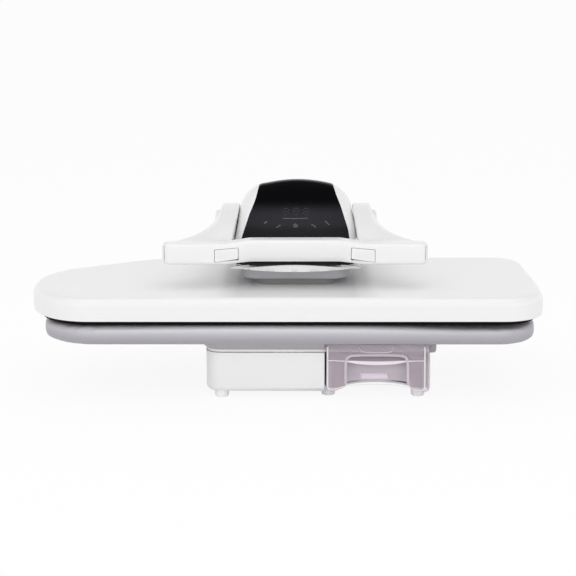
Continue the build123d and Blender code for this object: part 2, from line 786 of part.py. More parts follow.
def board_collar():
    """Support between the base and the board's pan, flaring out to the front and sides."""
    z0 = BASE_TOP + DECK_T
    low = Pos((BASE_LEFT + BASE_RIGHT) / 2, 2, z0) * RectangleRounded(278, 210, 18)
    mid = Pos((BASE_LEFT + BASE_RIGHT) / 2, 2, z0 + 3.5) * RectangleRounded(287, 217, 21)
    high = Pos((BASE_LEFT + BASE_RIGHT) / 2, 2, BOARD_BOTTOM) * RectangleRounded(295, 225, 24)
    body = loft([low, mid, high])
    body -= rounded_slab(-60, 156, -64, 80, z0 - 1, BOARD_BOTTOM + 1, 14)
    tank_path = block(BAY_LEFT - 0.4, BASE_RIGHT + 0.2, -200, TANK_FRONT + 3.2, z0 - 1, 80)
    rail = block(BASE_RIGHT + 0.3, BASE_RIGHT + 8.5, -95, 90, RAIL_Z, BOARD_BOTTOM - 1)
    under = rail.faces().sort_by(Axis.Z)[0].edges().filter_by(Axis.Y).sort_by(Axis.X)[-1]
    rail = fillet([under] + list(rail.edges().filter_by(Axis.Z).sort_by(Axis.X)[-2:]), 4.0)
    return body - tank_path + rail


def column_cover():
    """Housing of the rear column, round over the hinge."""
    y0, y1 = COLUMN_FRONT, BASE_BACK - 2
    z0 = BASE_TOP + DECK_T

    def column(inset):
        side = [(y0 + inset, z0), (y1 - inset, z0), (y1 - inset, COLUMN_TOP - inset),
                (y0 + inset, COLUMN_TOP - inset)]
        face = make_face(Polyline(*side, side[0]))
        tops = face.vertices().sort_by(Axis.Y)[-2:]
        face = fillet(tops, 20 - inset)
        half = COLUMN_HALF - inset
        return Pos(HEAD_X - half, 0, 0) * extrude(Plane.YZ * face, 2 * half)

    body = column(0)
    upright = body.edges().filter_by(Axis.Z)
    body = fillet(upright, 5)
    body -= column(2.6) & block(-300, 300, 0, 300, z0 - 1, 300)
    body -= rod_x(HEAD_X - 90, HEAD_X + 90, HINGE_Y, HINGE_Z, HINGE_PIN_R + 0.4)
    for i in range(5):
        z = 92 + i * 8
        body -= block(HEAD_X - 30, HEAD_X + 30, y1 - 5, y1 + 1, z, z + 3)
    return body


def column_frame():
    """Steel upright that carries the hinge pin."""
    side = make_face(Polyline((144, BASE_BOTTOM), (182, BASE_BOTTOM), (182, 70), (176, 184),
                              (150, 184), (144, 70), (144, BASE_BOTTOM)))
    side = fillet(side.vertices().sort_by(Axis.Y)[-3:-1], 6)
    cheek = Pos(HEAD_X + 52, 0, 0) * extrude(Plane.YZ * side, 4)
    back = block(HEAD_X - 52, HEAD_X + 52, 176, 179, BASE_BOTTOM, 140)
    frame = pair(cheek) + back
    frame -= rod_x(HEAD_X - 60, HEAD_X - 48, 160, PUMP_Z, 7)
    return frame - rod_x(HEAD_X - 70, HEAD_X + 70, HINGE_Y, HINGE_Z, HINGE_PIN_R)


def hinge_pin():
    """Main hinge pin through the column and both arms."""
    return rod_x(HEAD_X - 99, HEAD_X + 99, HINGE_Y, HINGE_Z, HINGE_PIN_R)


def lift_springs():
    """Torsion springs on the pin that help the press to open."""
    coil = rod_x(HEAD_X + 12, HEAD_X + 46, HINGE_Y, HINGE_Z, 11)
    coil -= rod_x(HEAD_X + 11, HEAD_X + 47, HINGE_Y, HINGE_Z, 8)
    leg = block(HEAD_X + 43, HEAD_X + 46, HINGE_Y + 8, 176, HINGE_Z - 60, HINGE_Z)
    return pair(coil + leg)


def water_pump():
    """Pump with its coil and two ports."""
    body = block(-50, -8, 96, 130, 22, 52)
    body = fillet(body.edges().filter_by(Axis.Z), 3)
    body += rod_x(-8, 24, 113, PUMP_Z, 9)
    body += rod_x(24, 36, 113, PUMP_Z, 4)
    body += rod_x(-62, -50, 113, PUMP_Z, 4)
    body += block(-46, -12, 100, 126, BASE_BOTTOM, 22)
    return body


def tank_socket():
    """Socket in the bay's rear wall that the tank plugs into."""
    flange = rod_y(SOCKET_X, BAY_BACK - 0.6, BAY_BACK, SOCKET_Z, 11)
    barrel = rod_y(SOCKET_X, BAY_BACK - 0.6, BAY_BACK + 14, SOCKET_Z, 9)
    tail = rod_y(SOCKET_X, BAY_BACK + 14, BAY_BACK + 26, SOCKET_Z, 4)
    return flange + barrel + tail - rod_y(SOCKET_X, BAY_BACK - 2, BAY_BACK + 10, SOCKET_Z, 6)


def suction_hose():
    """Hose from the tank socket to the pump."""
    path = FilletPolyline((SOCKET_X, BAY_BACK + 24, SOCKET_Z), (SOCKET_X, 113, SOCKET_Z),
                          (60, 113, PUMP_Z), (28, 113, PUMP_Z), radius=14)
    ring = Plane(origin=path @ 0, z_dir=path % 0) * (Circle(5.5) - Circle(4.02))
    return sweep(ring, path=path)


def feed_hose():
    """Hose from the pump up through the rear column."""
    path = FilletPolyline((-54, 113, PUMP_Z), (-78, 113, PUMP_Z), (-78, 160, PUMP_Z),
                          (-16, 160, PUMP_Z), (-16, 160, 158), radius=11)
    ring = Plane(origin=path @ 0, z_dir=path % 0) * (Circle(5.5) - Circle(4.02))
    return sweep(ring, path=path)


def power_board():
    """Mains circuit board with relay, choke and terminals."""
    board = block(-84, -14, -70, 30, 24, 25.6)
    relay = block(-76, -58, -60, -44, 25.6, 41)
    choke = rod_z(-36, -40, 25.6, 40, 11)
    caps = rod_z(-70, 0, 25.6, 44, 6) + rod_z(-52, 0, 25.6, 44, 6)
    terminals = block(-40, -18, 10, 26, 25.6, 38)
    posts = Part()
    for x in (-80, -18):
        for y in (-64, 24):
            posts += rod_z(x, y, BASE_BOTTOM, 24, 3)
    return board + relay + choke + caps + terminals + posts


def cord_gland():
    """Inlet bush for the mains lead in the rear wall."""
    flange = rod_y(CORD_X, BASE_BACK, BASE_BACK + 2, CORD_Z, 9)
    barrel = rod_y(CORD_X, BASE_BACK - 8, BASE_BACK, CORD_Z, 7)
    return flange + barrel - rod_y(CORD_X, BASE_BACK - 9, BASE_BACK + 3, CORD_Z, 4)


def base_screws():
    """Screws that hold the bottom cover."""
    group = Part()
    for x, y in screw_places():
        head = rod_z(x, y, FLOOR_Z - 1.6, FLOOR_Z, 3.4)
        shank = rod_z(x, y, FLOOR_Z, BASE_BOTTOM + 3, 1.7)
        cross = block(x - 2, x + 2, y - 0.4, y + 0.4, FLOOR_Z - 2, FLOOR_Z - 0.8)
        cross += block(x - 0.4, x + 0.4, y - 2, y + 2, FLOOR_Z - 2, FLOOR_Z - 0.8)
        group += head + shank - cross
    return group


def tank_middle():
    """Middle of the tank's face."""
    return (TANK_LEFT + TANK_RIGHT) / 2


def tank_arch(half, top, r):
    """Arched outline of the tank's finger pull, drawn in front view."""
    x = tank_middle()
    points = [(x - half - 1.5, 0), (x - half, top), (x + half, top), (x + half + 1.5, 0)]
    face = make_face(Polyline(*points, points[0]))
    return fillet(face.vertices().sort_by(Axis.Y)[-2:], r)


def scoop(grow):
    """The finger pull as a solid: wide at the face and narrower towards its back."""
    front = Plane(origin=(0, TANK_FRONT - 1, 0), x_dir=(1, 0, 0), z_dir=(0, -1, 0))
    back = Plane(origin=(0, TANK_FRONT + PULL_DEPTH + grow, 0), x_dir=(1, 0, 0), z_dir=(0, -1, 0))
    wide = front * tank_arch(39.5 + grow, 57.0 + grow, 10.0 + grow)
    narrow = back * tank_arch(37.2 + grow, 53.6 + grow, 7.0 + grow)
    return loft([wide, narrow])


def along_y(face, y0, y1):
    """A front-view outline given depth from y0 back to y1."""
    return Pos(0, y1, 0) * extrude(Plane.XZ * face, y1 - y0)


def foot_arch():
    """Gap below the tank's face, rising in a soft arch between its two corners."""
    x = tank_middle()
    low = TANK_FACE_LOW
    curve = Spline((x - 57, low), (x - 48, low + 3.2), (x - 38, low + 7.2), (x - 22, low + 9.6),
                   (x, low + 10.2), (x + 22, low + 9.6), (x + 38, low + 7.2),
                   (x + 48, low + 3.2), (x + 57, low))
    rest = Polyline((x + 57, low), (x + 57, low - 10), (x - 57, low - 10), (x - 57, low))
    return along_y(make_face(curve + rest), TANK_FRONT - 4, TANK_FRONT + 60)


def tank_face():
    """Front plate of the tank, with rounded corners and a thumb tab at its top."""
    x = tank_middle()
    half = (TANK_RIGHT - TANK_LEFT) / 2
    middle_z = (TANK_FACE_LOW + TANK_FACE_TOP) / 2
    plate = RectangleRounded(2 * half, TANK_FACE_TOP - TANK_FACE_LOW, 4.0)
    plate = along_y(Pos(x, middle_z) * plate, TANK_FRONT, TANK_FRONT + TANK_FACE_T)
    tab = Pos(x - 2, 66.0) * RectangleRounded(43, 13, 6.0)
    tab = along_y(tab, TANK_FRONT - 1.4, TANK_FRONT + 0.5)
    tab = fillet(tab.faces().sort_by(Axis.Y)[0].edges(), 0.9)
    return plate + tab & block(0, 300, -200, 0, 0, TANK_FACE_TOP)


def scoop_pads():
    """Curved catch and ribbed pad on the back of the finger pull."""
    x = tank_middle()
    y1 = TANK_FRONT + PULL_DEPTH + 0.5
    arc = ThreePointArc((x - 33, 49), (x, 43.6), (x + 33, 49))
    catch = along_y(make_face(arc + Line((x + 33, 49), (x - 33, 49))), y1 - 1.8, y1)
    slab = Polyline((x - 22, 14), (x + 18, 14), (x + 15.5, 27.6), (x - 21, 27.6), (x - 22, 14))
    pad = along_y(make_face(slab), y1 - 1.4, y1)
    return catch + pad


def tank_shell():
    """Clear water tank with its face, arched foot and finger pull."""
    x0, x1 = TANK_LEFT + 2, TANK_RIGHT - 4
    inner_y = TANK_FRONT + TANK_FACE_T
    body = rounded_slab(x0, x1, TANK_FRONT + 2, TANK_BACK, TANK_BOTTOM, TANK_RIM, 8)
    face = tank_face()
    for x in (TANK_LEFT + 0.2, BASE_RIGHT - BASE_WALL - 0.3 - TANK_WALL):
        face += block(x, x + TANK_WALL, inner_y - 1, TANK_FRONT + 12, TANK_BOTTOM, BASE_TOP - 1)
    liner = scoop(TANK_WALL) & block(x0, x1, TANK_FRONT, TANK_BACK, TANK_BOTTOM, TANK_RIM + 8)
    hollow = rounded_slab(x0 + TANK_WALL, x1 - TANK_WALL, inner_y + 2, TANK_BACK - TANK_WALL,
                          TANK_BOTTOM + TANK_WALL, TANK_RIM + 1, 6)
    outlet = rod_y(SOCKET_X, TANK_BACK, BAY_BACK + 4, SOCKET_Z, 5.4)
    body = body + face - hollow + liner - scoop(0) + scoop_pads() + outlet
    body -= rod_y(SOCKET_X, TANK_BACK - 4, BAY_BACK + 5, SOCKET_Z, 3)
    return body - foot_arch()


def tank_lid():
    """Clear lid of the tank with a filling mouth and a collar round it."""
    top = TANK_RIM + 2.4
    plate = rounded_slab(TANK_LEFT + 2.5, TANK_RIGHT - 4.5, TANK_FRONT + TANK_FACE_T, TANK_BACK,
                         TANK_RIM, top, 7)
    mouth = rounded_slab(96, 146, -20, 14, TANK_RIM - 1, top + 4, 8)
    collar = rounded_slab(94, 148, -22, 16, top, top + 2.6, 10)
    return plate - scoop(TANK_WALL + 0.6) + collar - mouth


def build_all():
    """Every piece of the press by name."""
    return {
        "base_shell": base_shell(),
        "base_floor": base_floor(),
        "base_deck": base_deck(),
        "feet": feet(),
        "board_collar": board_collar(),
        "board_pan": board_pan(),
        "board_foam": board_foam(),
        "board_cover": board_cover(),
        "column_cover": column_cover(),
        "column_frame": column_frame(),
        "hinge_pin": hinge_pin(),
        "lift_springs": lift_springs(),
        "water_pump": water_pump(),
        "tank_socket": tank_socket(),
        "suction_hose": suction_hose(),
        "feed_hose": feed_hose(),
        "power_board": power_board(),
        "cord_gland": cord_gland(),
        "base_screws": base_screws(),
        "tank_shell": tank_shell(),
        "tank_lid": tank_lid(),
        "handle_shell": handle_shell(),
        "handle_underside": handle_underside(),
        "lever_bars": lever_bars(),
        "grip_bar": grip_bar(),
        "hinge_bushes": hinge_bushes(),
        "pivot_pin": pivot_pin(),
        "pivot_cap_right": pivot_cap(),
        "pivot_cap_left": mirrored(pivot_cap()),
        "steam_switches": steam_switches(),
        "steam_button_left": steam_button(-1),
        "steam_button_right": steam_button(1),
        "head_housing": head_housing(),
        "control_panel": control_panel(),
        "control_board": control_board(),
        "display_module": display_module(),
        "head_frame": head_frame(),
        "stud_nuts": stud_nuts(),
        "plate_studs": plate_studs(),
        "steam_inlet": steam_inlet(),
        "pedestal_step": pedestal_step(),
        "pedestal_foot": pedestal_foot(),
        "lid": lid(),
        "insulation_mat": insulation_mat(),
        "steam_chamber_cover": steam_chamber_cover(),
        "heating_plate": heating_plate(),
        "heating_element": heating_element(),
        "thermostat": thermostat(),
        "thermal_fuse": thermal_fuse(),
    }


os.makedirs("parts", exist_ok=True)
for name, shape in build_all().items():
    export_step(Pos(PLATE_X, PLATE_Y, 0) * shape, f"parts/{name}.step")
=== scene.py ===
import json
import math

import bmesh
import bpy
from bpy.props import FloatProperty, FloatVectorProperty, PointerProperty
from mathutils import Matrix, Vector, noise
from mathutils.bvhtree import BVHTree


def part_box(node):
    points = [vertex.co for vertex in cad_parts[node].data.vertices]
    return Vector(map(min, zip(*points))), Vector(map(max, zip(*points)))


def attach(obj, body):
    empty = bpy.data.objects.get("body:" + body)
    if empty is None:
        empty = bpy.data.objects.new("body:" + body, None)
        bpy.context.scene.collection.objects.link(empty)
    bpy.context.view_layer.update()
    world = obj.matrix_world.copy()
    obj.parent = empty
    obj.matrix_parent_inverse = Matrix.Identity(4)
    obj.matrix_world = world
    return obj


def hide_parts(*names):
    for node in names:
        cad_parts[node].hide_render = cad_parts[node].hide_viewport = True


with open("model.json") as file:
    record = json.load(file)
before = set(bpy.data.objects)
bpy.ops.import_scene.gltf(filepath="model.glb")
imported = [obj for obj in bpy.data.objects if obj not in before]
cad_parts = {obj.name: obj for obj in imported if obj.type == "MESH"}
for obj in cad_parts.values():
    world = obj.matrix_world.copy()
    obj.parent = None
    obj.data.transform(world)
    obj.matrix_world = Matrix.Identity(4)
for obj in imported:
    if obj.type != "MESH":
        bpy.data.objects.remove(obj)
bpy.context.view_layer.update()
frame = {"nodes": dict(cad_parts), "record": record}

bl_info = {
    "name": "Steam Ironing Press",
    "version": (1, 0, 0),
    "blender": (4, 5, 0),
    "location": "View3D > Sidebar > Press",
    "description": "Dresses the ironing press with its padded board, marks, finishes and studio",
    "category": "Add Mesh",
}

NODES = frame["nodes"]
MM = 0.001

# The head's middle plane, taken from the panel that it carries.
PANEL_LOW, PANEL_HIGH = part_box("control_panel")
HEAD_X = (PANEL_LOW.x + PANEL_HIGH.x) / 2
BOARD_LOW, BOARD_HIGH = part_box("board_cover")
PLATE_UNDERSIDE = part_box("heating_plate")[0].z
PLATE_CLEARANCE = 0.3 * MM

# Where the tank's face lies, and the depths and heights between which its tint turns to the scoop's
# painted light and to the painted shade of its top.
TANK_FACE_Y = -139.9 * MM
SCOOP_DEPTHS = (-136 * MM, -122 * MM)
SCOOP_HEIGHTS = (30 * MM, 52 * MM)
TANK_SHADE_HEIGHTS = (46 * MM, 56 * MM)

# Heights between which the control panel turns from its touch field, made paler by a painted
# reflection, to black, and between which that painted reflection itself gets paler.
BLACK_HEIGHTS = (214 * MM, 231 * MM)
REFLECTION_HEIGHTS = (196 * MM, 206 * MM)

# Distance from one thread of the cloth to the next.
THREAD = 0.9 * MM
# Last frame of the cloth simulation, and how far up the pad is held on its tray.
CLOTH_FRAMES = 20
HELD_HEIGHT = 1 * MM
# How fast the cloth's soft folds follow one another along each axis, per metre.
FOLD_RATE = Vector((34, 34, 70))
# The pad is highest this far left of its middle.
CROWN_SHIFT = 30 * MM
# Above this height a painted highlight rises on the side of the pad, over this distance. Where the
# normal rises more than the last value, the cloth belongs to the pad's top.
FLANK_FOOT, FLANK_RISE = 77 * MM, 18 * MM
TOP_LEAN = 0.9

# A height above the whole press and a place in front of it, from which rays are sent at it.
ABOVE_PRESS = 0.4
BEFORE_PRESS = -0.3

# The board's plan: the place of each corner from its left and front edges, and the corner's radius.
BOARD_CORNERS = (
    (622.5, 0.0, 52.0),
    (625.7, 84.5, 600.0),
    (622.5, 250.5, 31.0),
    (135.5, 250.5, 144.0),
    (0.0, 158.5, 80.0),
    (0.0, 43.5, 44.0),
    (36.5, 0.0, 79.0),
)


class PressColours(bpy.types.PropertyGroup):
    """Colours of the press that a user may change."""

    moulding: FloatVectorProperty(
        name="Moulding", description="White gloss plastic of the lid, lever, head and base",
        subtype="COLOR", size=3, min=0, max=1, default=(0.84, 0.832, 0.838))
    panel: FloatVectorProperty(
        name="Panel", description="Black gloss plastic of the control panel",
        subtype="COLOR", size=3, min=0, max=1, default=(0.0015, 0.0015, 0.002))
    # Painted reflection: the paler colour given to the panel's lower part.
    painted_reflection: FloatVectorProperty(
        name="Touch field", description="Paler lower part of the control panel",
        subtype="COLOR", size=3, min=0, max=1, default=(0.022, 0.021, 0.026))
    cloth: FloatVectorProperty(
        name="Cloth", description="Coated cloth of the board's cover",
        subtype="COLOR", size=3, min=0, max=1, default=(0.37, 0.356, 0.393))
    tank: FloatVectorProperty(
        name="Tank", description="Tint of the clear water tank",
        subtype="COLOR", size=3, min=0, max=1, default=(0.72, 0.62, 0.70))
    marks: FloatVectorProperty(
        name="Marks", description="Light grey of the printed touch keys",
        subtype="COLOR", size=3, min=0, max=1, default=(0.15, 0.15, 0.165))
    display: FloatVectorProperty(
        name="Display", description="Olive grey of the display's resting digits",
        subtype="COLOR", size=3, min=0, max=1, default=(0.033, 0.034, 0.029))


class BoardSizes(bpy.types.PropertyGroup):
    """Sizes of the padded board."""

    upper_radius: FloatProperty(
        name="Upper edge radius", description="Roundness of the pad's upper edge",
        unit="LENGTH", default=4 * MM, min=3 * MM, max=12 * MM)
    lower_radius: FloatProperty(
        name="Lower edge radius", description="Roundness of the pad's lower edge",
        unit="LENGTH", default=7.5 * MM, min=3 * MM, max=12 * MM)
    crown: FloatProperty(
        name="Crown drop", description="How far the pad falls from its middle to its ends",
        unit="LENGTH", default=3 * MM, min=0, max=6 * MM)
    wrinkle: FloatProperty(
        name="Wrinkle depth", description="Depth of the soft wrinkles in the cloth",
        unit="LENGTH", default=0.35 * MM, min=0, max=2 * MM)
    voxel: FloatProperty(
        name="Mesh size", description="Size of the cloth's mesh cells",
        unit="LENGTH", default=4.5 * MM, min=3 * MM, max=10 * MM)
    pressure: FloatProperty(
        name="Filling pressure", description="How hard the filling presses the cloth outwards",
        default=4.0, min=0, max=20)
    swell: FloatProperty(
        name="Swell", description="The furthest that the filling may push the cloth",
        unit="LENGTH", default=1.2 * MM, min=0, max=6 * MM)


class PanelSizes(bpy.types.PropertyGroup):
    """Sizes of the marks on the control panel, in the panel's plan."""

    digit_width: FloatProperty(
        name="Digit width", description="Width of one digit of the display",
        unit="LENGTH", default=8.4 * MM, min=4 * MM, max=12 * MM)
    digit_height: FloatProperty(
        name="Digit height", description="Height of one digit",
        unit="LENGTH", default=9.8 * MM, min=4 * MM, max=16 * MM)
    digit_pitch: FloatProperty(
        name="Digit pitch", description="Distance from one digit to the next",
        unit="LENGTH", default=13.2 * MM, min=6 * MM, max=20 * MM)
    stroke: FloatProperty(
        name="Stroke", description="Width of a digit's strokes",
        unit="LENGTH", default=1.5 * MM, min=0.5 * MM, max=3 * MM)
    lift: FloatProperty(
        name="Lift", description="Height of the printed marks above the panel",
        unit="LENGTH", default=0.12 * MM, min=0.05 * MM, max=0.5 * MM)


class StageSettings(bpy.types.PropertyGroup):
    """Camera and light of the studio."""

    camera_place: FloatVectorProperty(
        name="Camera place", description="Where the camera stands",
        subtype="TRANSLATION", size=3, default=(0.03477, -1.87475, 0.52598))
    camera_pitch: FloatProperty(
        name="Pitch", description="How far the camera looks down",
        subtype="ANGLE", default=math.radians(12.452))
    camera_yaw: FloatProperty(
        name="Yaw", description="How far the camera turns to the left",
        subtype="ANGLE", default=math.radians(1.0))
    camera_roll: FloatProperty(
        name="Roll", description="How far the camera leans",
        subtype="ANGLE", default=math.radians(-0.24))
    lens: FloatProperty(
        name="Lens", description="Focal length on a 36 mm frame, in millimetres",
        default=90.0, min=20, max=200)
    key_power: FloatProperty(
        name="Key power", description="Power of the large soft lamp overhead, in watts",
        default=7.0, min=0, max=500)
    fill_power: FloatProperty(
        name="Fill power", description="Power of each low soft lamp in front, in watts",
        default=3.0, min=0, max=500)
    room_light: FloatProperty(
        name="Room light", description="Strength of the even light from all round",
        default=0.88, min=0, max=2)


class Field:
    """A shader value that Python arithmetic can be done on."""

    def __init__(self, shading, socket):
        self.shading = shading
        self.socket = socket

    def math(self, operation, *values):
        return self.shading.field("ShaderNodeMath", {"operation": operation}, values)

    def __add__(self, other):
        return self.math("ADD", self, other)

    def __rsub__(self, other):
        return self.math("SUBTRACT", other, self)

    def __mul__(self, other):
        return self.math("MULTIPLY", self, other)

    def __gt__(self, other):
        return self.math("GREATER_THAN", self, other)


class Shading:
    """A node tree, with one way to add nodes to it."""

    def __init__(self, tree):
        self.tree = tree

    def node(self, kind, settings, inputs):
        """Adds a node: its settings first, then the values or links of its sockets."""
        made = self.tree.nodes.new(kind)
        for key, value in settings.items():
            if key == "stops":
                for stop, (place, shade) in zip(made.color_ramp.elements, value):
                    stop.position = place
                    stop.color = shade
            else:
                setattr(made, key, value)
        named = inputs.items() if isinstance(inputs, dict) else enumerate(inputs)
        for key, value in named:
            if isinstance(value, Field):
                self.join(value, made, key)
            else:
                made.inputs[key].default_value = value
        return made

    def field(self, kind, settings, inputs, output=0):
        return Field(self, self.node(kind, settings, inputs).outputs[output])

    def join(self, value, node, socket):
        self.tree.links.new(value.socket, node.inputs[socket])

    def blend(self, share, first, second):
        """One colour turning into another."""
        colours = [c if isinstance(c, Field) else (*c, 1) for c in (first, second)]
        return self.field("ShaderNodeMix", {"data_type": "RGBA"},
                          {0: share, 6: colours[0], 7: colours[1]}, 2)

    def axes(self, place):
        parts = self.node("ShaderNodeSeparateXYZ", {}, [place]).outputs
        return [Field(self, part) for part in parts]


class Finish(Shading):
    """A material in the making, with its shader."""

    def __init__(self, name, colour, roughness, **constants):
        self.material = bpy.data.materials.new(name)
        self.material.use_nodes = True
        super().__init__(self.material.node_tree)
        self.shader = self.tree.nodes["Principled BSDF"]
        self.shader.inputs["Base Color"].default_value = (*colour, 1)
        self.shader.inputs["Roughness"].default_value = roughness
        for socket, value in constants.items():
            self.shader.inputs[socket.replace("_", " ")].default_value = value
        self.material.diffuse_color = (*colour, 1)

    def place(self):
        """The surface's own place in the press, in metres."""
        return self.field("ShaderNodeTexCoord", {}, {}, "Object")

    def cloth_place(self):
        """The place on the cloth, along its own threads, in metres."""
        return self.field("ShaderNodeUVMap", {"uv_map": "weave"}, {})

    def stretched(self, place, scale):
        return self.field("ShaderNodeMapping", {}, {"Vector": place, "Scale": scale})

    def cloud(self, place, scale, detail=2.0, roughness=0.5):
        values = {"Vector": place, "Scale": scale, "Detail": detail, "Roughness": roughness}
        return self.field("ShaderNodeTexNoise", {}, values)

    def rise(self, value, low, high):
        """0 below low and 1 above high, with a smooth turn between them."""
        return self.field("ShaderNodeMapRange", {"interpolation_type": "SMOOTHSTEP"},
                          {"Value": value, "From Min": low, "From Max": high})

    def spread(self, value, low, high):
        """A value from 0 to 1 made to run from low to high."""
        return value * (high - low) + low

    def feed(self, socket, value):
        self.join(value, self.shader, socket)

    def relief(self, height, distance, strength=1.0):
        """A bump of a real depth, in metres."""
        bump = self.field("ShaderNodeBump", {},
                          {"Strength": strength, "Distance": distance, "Height": height})
        self.feed("Normal", bump)


def shade(colour, factor):
    return tuple(min(1.0, c * factor) for c in colour)


def moulded_white(colours):
    """Gloss white plastic with the faint orange peel of a polished mould."""
    finish = Finish("moulded_white", colours.moulding, 0.34, Coat_Weight=0.25, Coat_Roughness=0.12)
    place = finish.place()
    flow = finish.cloud(place, 9.0, 3.0)
    finish.feed("Base Color", finish.blend(flow, shade(colours.moulding, 0.985), colours.moulding))
    finish.feed("Roughness", finish.spread(finish.cloud(place, 55.0), 0.28, 0.40))
    finish.relief(finish.cloud(place, 700.0, 1.0), 0.03 * MM, 0.35)
    return finish.material


def gloss_black(colours):
    """Black panel plastic whose lower part, the touch field, is more satin and is made a little
    paler by a painted reflection.
    """
    finish = Finish("gloss_black", colours.panel, 0.12, Specular_IOR_Level=0.3)
    place = finish.place()
    height = finish.axes(place)[2]
    black = finish.rise(height, *BLACK_HEIGHTS)
    smudge = finish.cloud(finish.stretched(place, (1.0, 2.2, 1.0)), 24.0, 4.0, 0.6)
    # Painted reflection: paler over the lower part of the panel, fading to half of it at the very
    # foot.
    foot = shade(colours.painted_reflection, 0.5)
    field = finish.blend(finish.rise(height, *REFLECTION_HEIGHTS), foot, colours.painted_reflection)
    finish.feed("Base Color", finish.blend(black, field, colours.panel))
    finish.feed("Roughness", finish.spread(smudge, 0.10, 0.20) + (1 - black) * 0.12)
    finish.relief(finish.cloud(place, 260.0, 1.0), 0.02 * MM, 0.2)
    return finish.material


def matt_plastic(name, colour, roughness):
    """Fine-grained matt plastic."""
    finish = Finish(name, colour, roughness)
    place = finish.place()
    grain = finish.cloud(place, 1400.0, 1.0)
    finish.feed("Base Color", finish.blend(finish.cloud(place, 30.0), shade(colour, 0.93), colour))
    finish.feed("Roughness", finish.spread(grain, roughness - 0.08, roughness + 0.08))
    finish.relief(grain, 0.06 * MM, 0.5)
    return finish.material


def painted_pan(colours):
    """Satin silver paint on the pressed tray."""
    finish = Finish("painted_pan", shade(colours.cloth, 1.1), 0.42, Metallic=0.35)
    place = finish.place()
    flake = finish.cloud(place, 2600.0, 1.0)
    dull, bright = shade(colours.cloth, 0.95), shade(colours.cloth, 1.25)
    finish.feed("Base Color", finish.blend(flake, dull, bright))
    finish.relief(finish.cloud(place, 420.0), 0.03 * MM, 0.4)
    return finish.material


def coated_cloth(colours):
    """Silver-coated cotton: plain weave, sheen, and a painted highlight round the pad's upper edge.
    """
    finish = Finish("coated_cloth", colours.cloth, 0.62, Sheen_Weight=0.08, Sheen_Roughness=0.4)
    across, along, _ = finish.axes(finish.cloth_place())
    turn = 2 * math.pi / THREAD
    warp = finish.field("ShaderNodeMath", {"operation": "SINE"}, [across * turn])
    weft = finish.field("ShaderNodeMath", {"operation": "SINE"}, [along * turn])
    weave = warp * weft * 0.5 + 0.5
    place = finish.place()
    wear = finish.cloud(place, 14.0, 4.0, 0.6)
    ground = finish.blend(wear, shade(colours.cloth, 0.92), shade(colours.cloth, 1.04))
    woven = finish.blend(weave, ground, shade(colours.cloth, 1.08))
    # Painted highlight: the cloth turns near white round the pad's upper edge and upper sides, less
    # towards both ends.
    painted_highlight = finish.field("ShaderNodeAttribute", {"attribute_name": "painted_highlight"}, {}, "Fac")
    finish.feed("Base Color", finish.blend(painted_highlight * 0.9, woven, (0.98, 0.97, 1.0)))
    finish.feed("Roughness", finish.spread(wear, 0.42, 0.58))
    finish.relief(weave, 0.12 * MM, 0.55)
    return finish.material


def soft_core(name, colour):
    """Open foam or felt."""
    finish = Finish(name, colour, 0.9)
    pores = finish.cloud(finish.place(), 900.0, 3.0, 0.7)
    finish.feed("Base Color", finish.blend(pores, shade(colour, 0.75), colour))
    finish.relief(pores, 0.4 * MM, 0.8)
    return finish.material


def sole_coat():
    """Black non-stick coat with fine pale flecks."""
    colour = (0.004, 0.004, 0.0045)
    finish = Finish("sole_coat", colour, 0.6, Specular_IOR_Level=0.05)
    place = finish.place()
    fleck = finish.cloud(place, 1500.0, 1.0) > 0.68
    finish.feed("Base Color", finish.blend(fleck, colour, (0.04, 0.039, 0.038)))
    finish.feed("Roughness", finish.spread(finish.cloud(place, 40.0), 0.54, 0.68))
    finish.relief(finish.cloud(place, 900.0), 0.04 * MM, 0.4)
    return finish.material


def worked_metal(name, colour, roughness, streaks):
    """Bare metal with drawn streaks and slight staining."""
    finish = Finish(name, colour, roughness, Metallic=1.0)
    place = finish.place()
    drawn = finish.cloud(finish.stretched(place, streaks), 900.0, 2.0)
    stain = finish.cloud(place, 45.0, 3.0)
    finish.feed("Base Color", finish.blend(stain, shade(colour, 0.85), colour))
    finish.feed("Roughness", finish.spread(drawn, roughness - 0.1, roughness + 0.12))
    finish.relief(drawn, 0.03 * MM, 0.4)
    return finish.material


def clear_tank(colours):
    """Tinted clear plastic, denser where it is seen along its wall, with the mould's flow marks,
    and painted light in its colour: a painted highlight along the wall, painted light low in the
    scoop and painted shade over its top.
    """
    finish = Finish("clear_tank", colours.tank, 0.08, Coat_Weight=0.5, Coat_Roughness=0.04)
    place = finish.place()
    flow = finish.cloud(finish.stretched(place, (1.0, 1.0, 3.0)), 16.0, 3.0)
    edge = finish.field("ShaderNodeLayerWeight", {}, {"Blend": 0.35}, "Facing")
    _, back, up = finish.axes(place)
    # Painted light: the back of the scoop turns paler and more opaque towards its bottom.
    scoop = finish.rise(back, *SCOOP_DEPTHS) * (1 - finish.rise(up, *SCOOP_HEIGHTS))
    # Painted shade: the tank darkens towards its top, under the board.
    top = finish.rise(up, *TANK_SHADE_HEIGHTS)
    wall = finish.blend(top, colours.tank, shade(colours.tank, 0.66))
    tint = finish.blend(scoop, wall, (1.0, 0.93, 1.0))
    pale = finish.blend(flow, tint, shade(colours.tank, 1.05))
    # Painted highlight: the colour turns pale where the wall is seen edge-on; the extra opacity
    # there is the wall's density.
    finish.feed("Base Color", finish.blend(edge, pale, (0.92, 0.86, 0.92)))
    finish.feed("Alpha", finish.spread(edge, 0.36, 0.95) + scoop * 0.2)
    finish.relief(flow, 0.2 * MM, 0.2)
    return finish.material


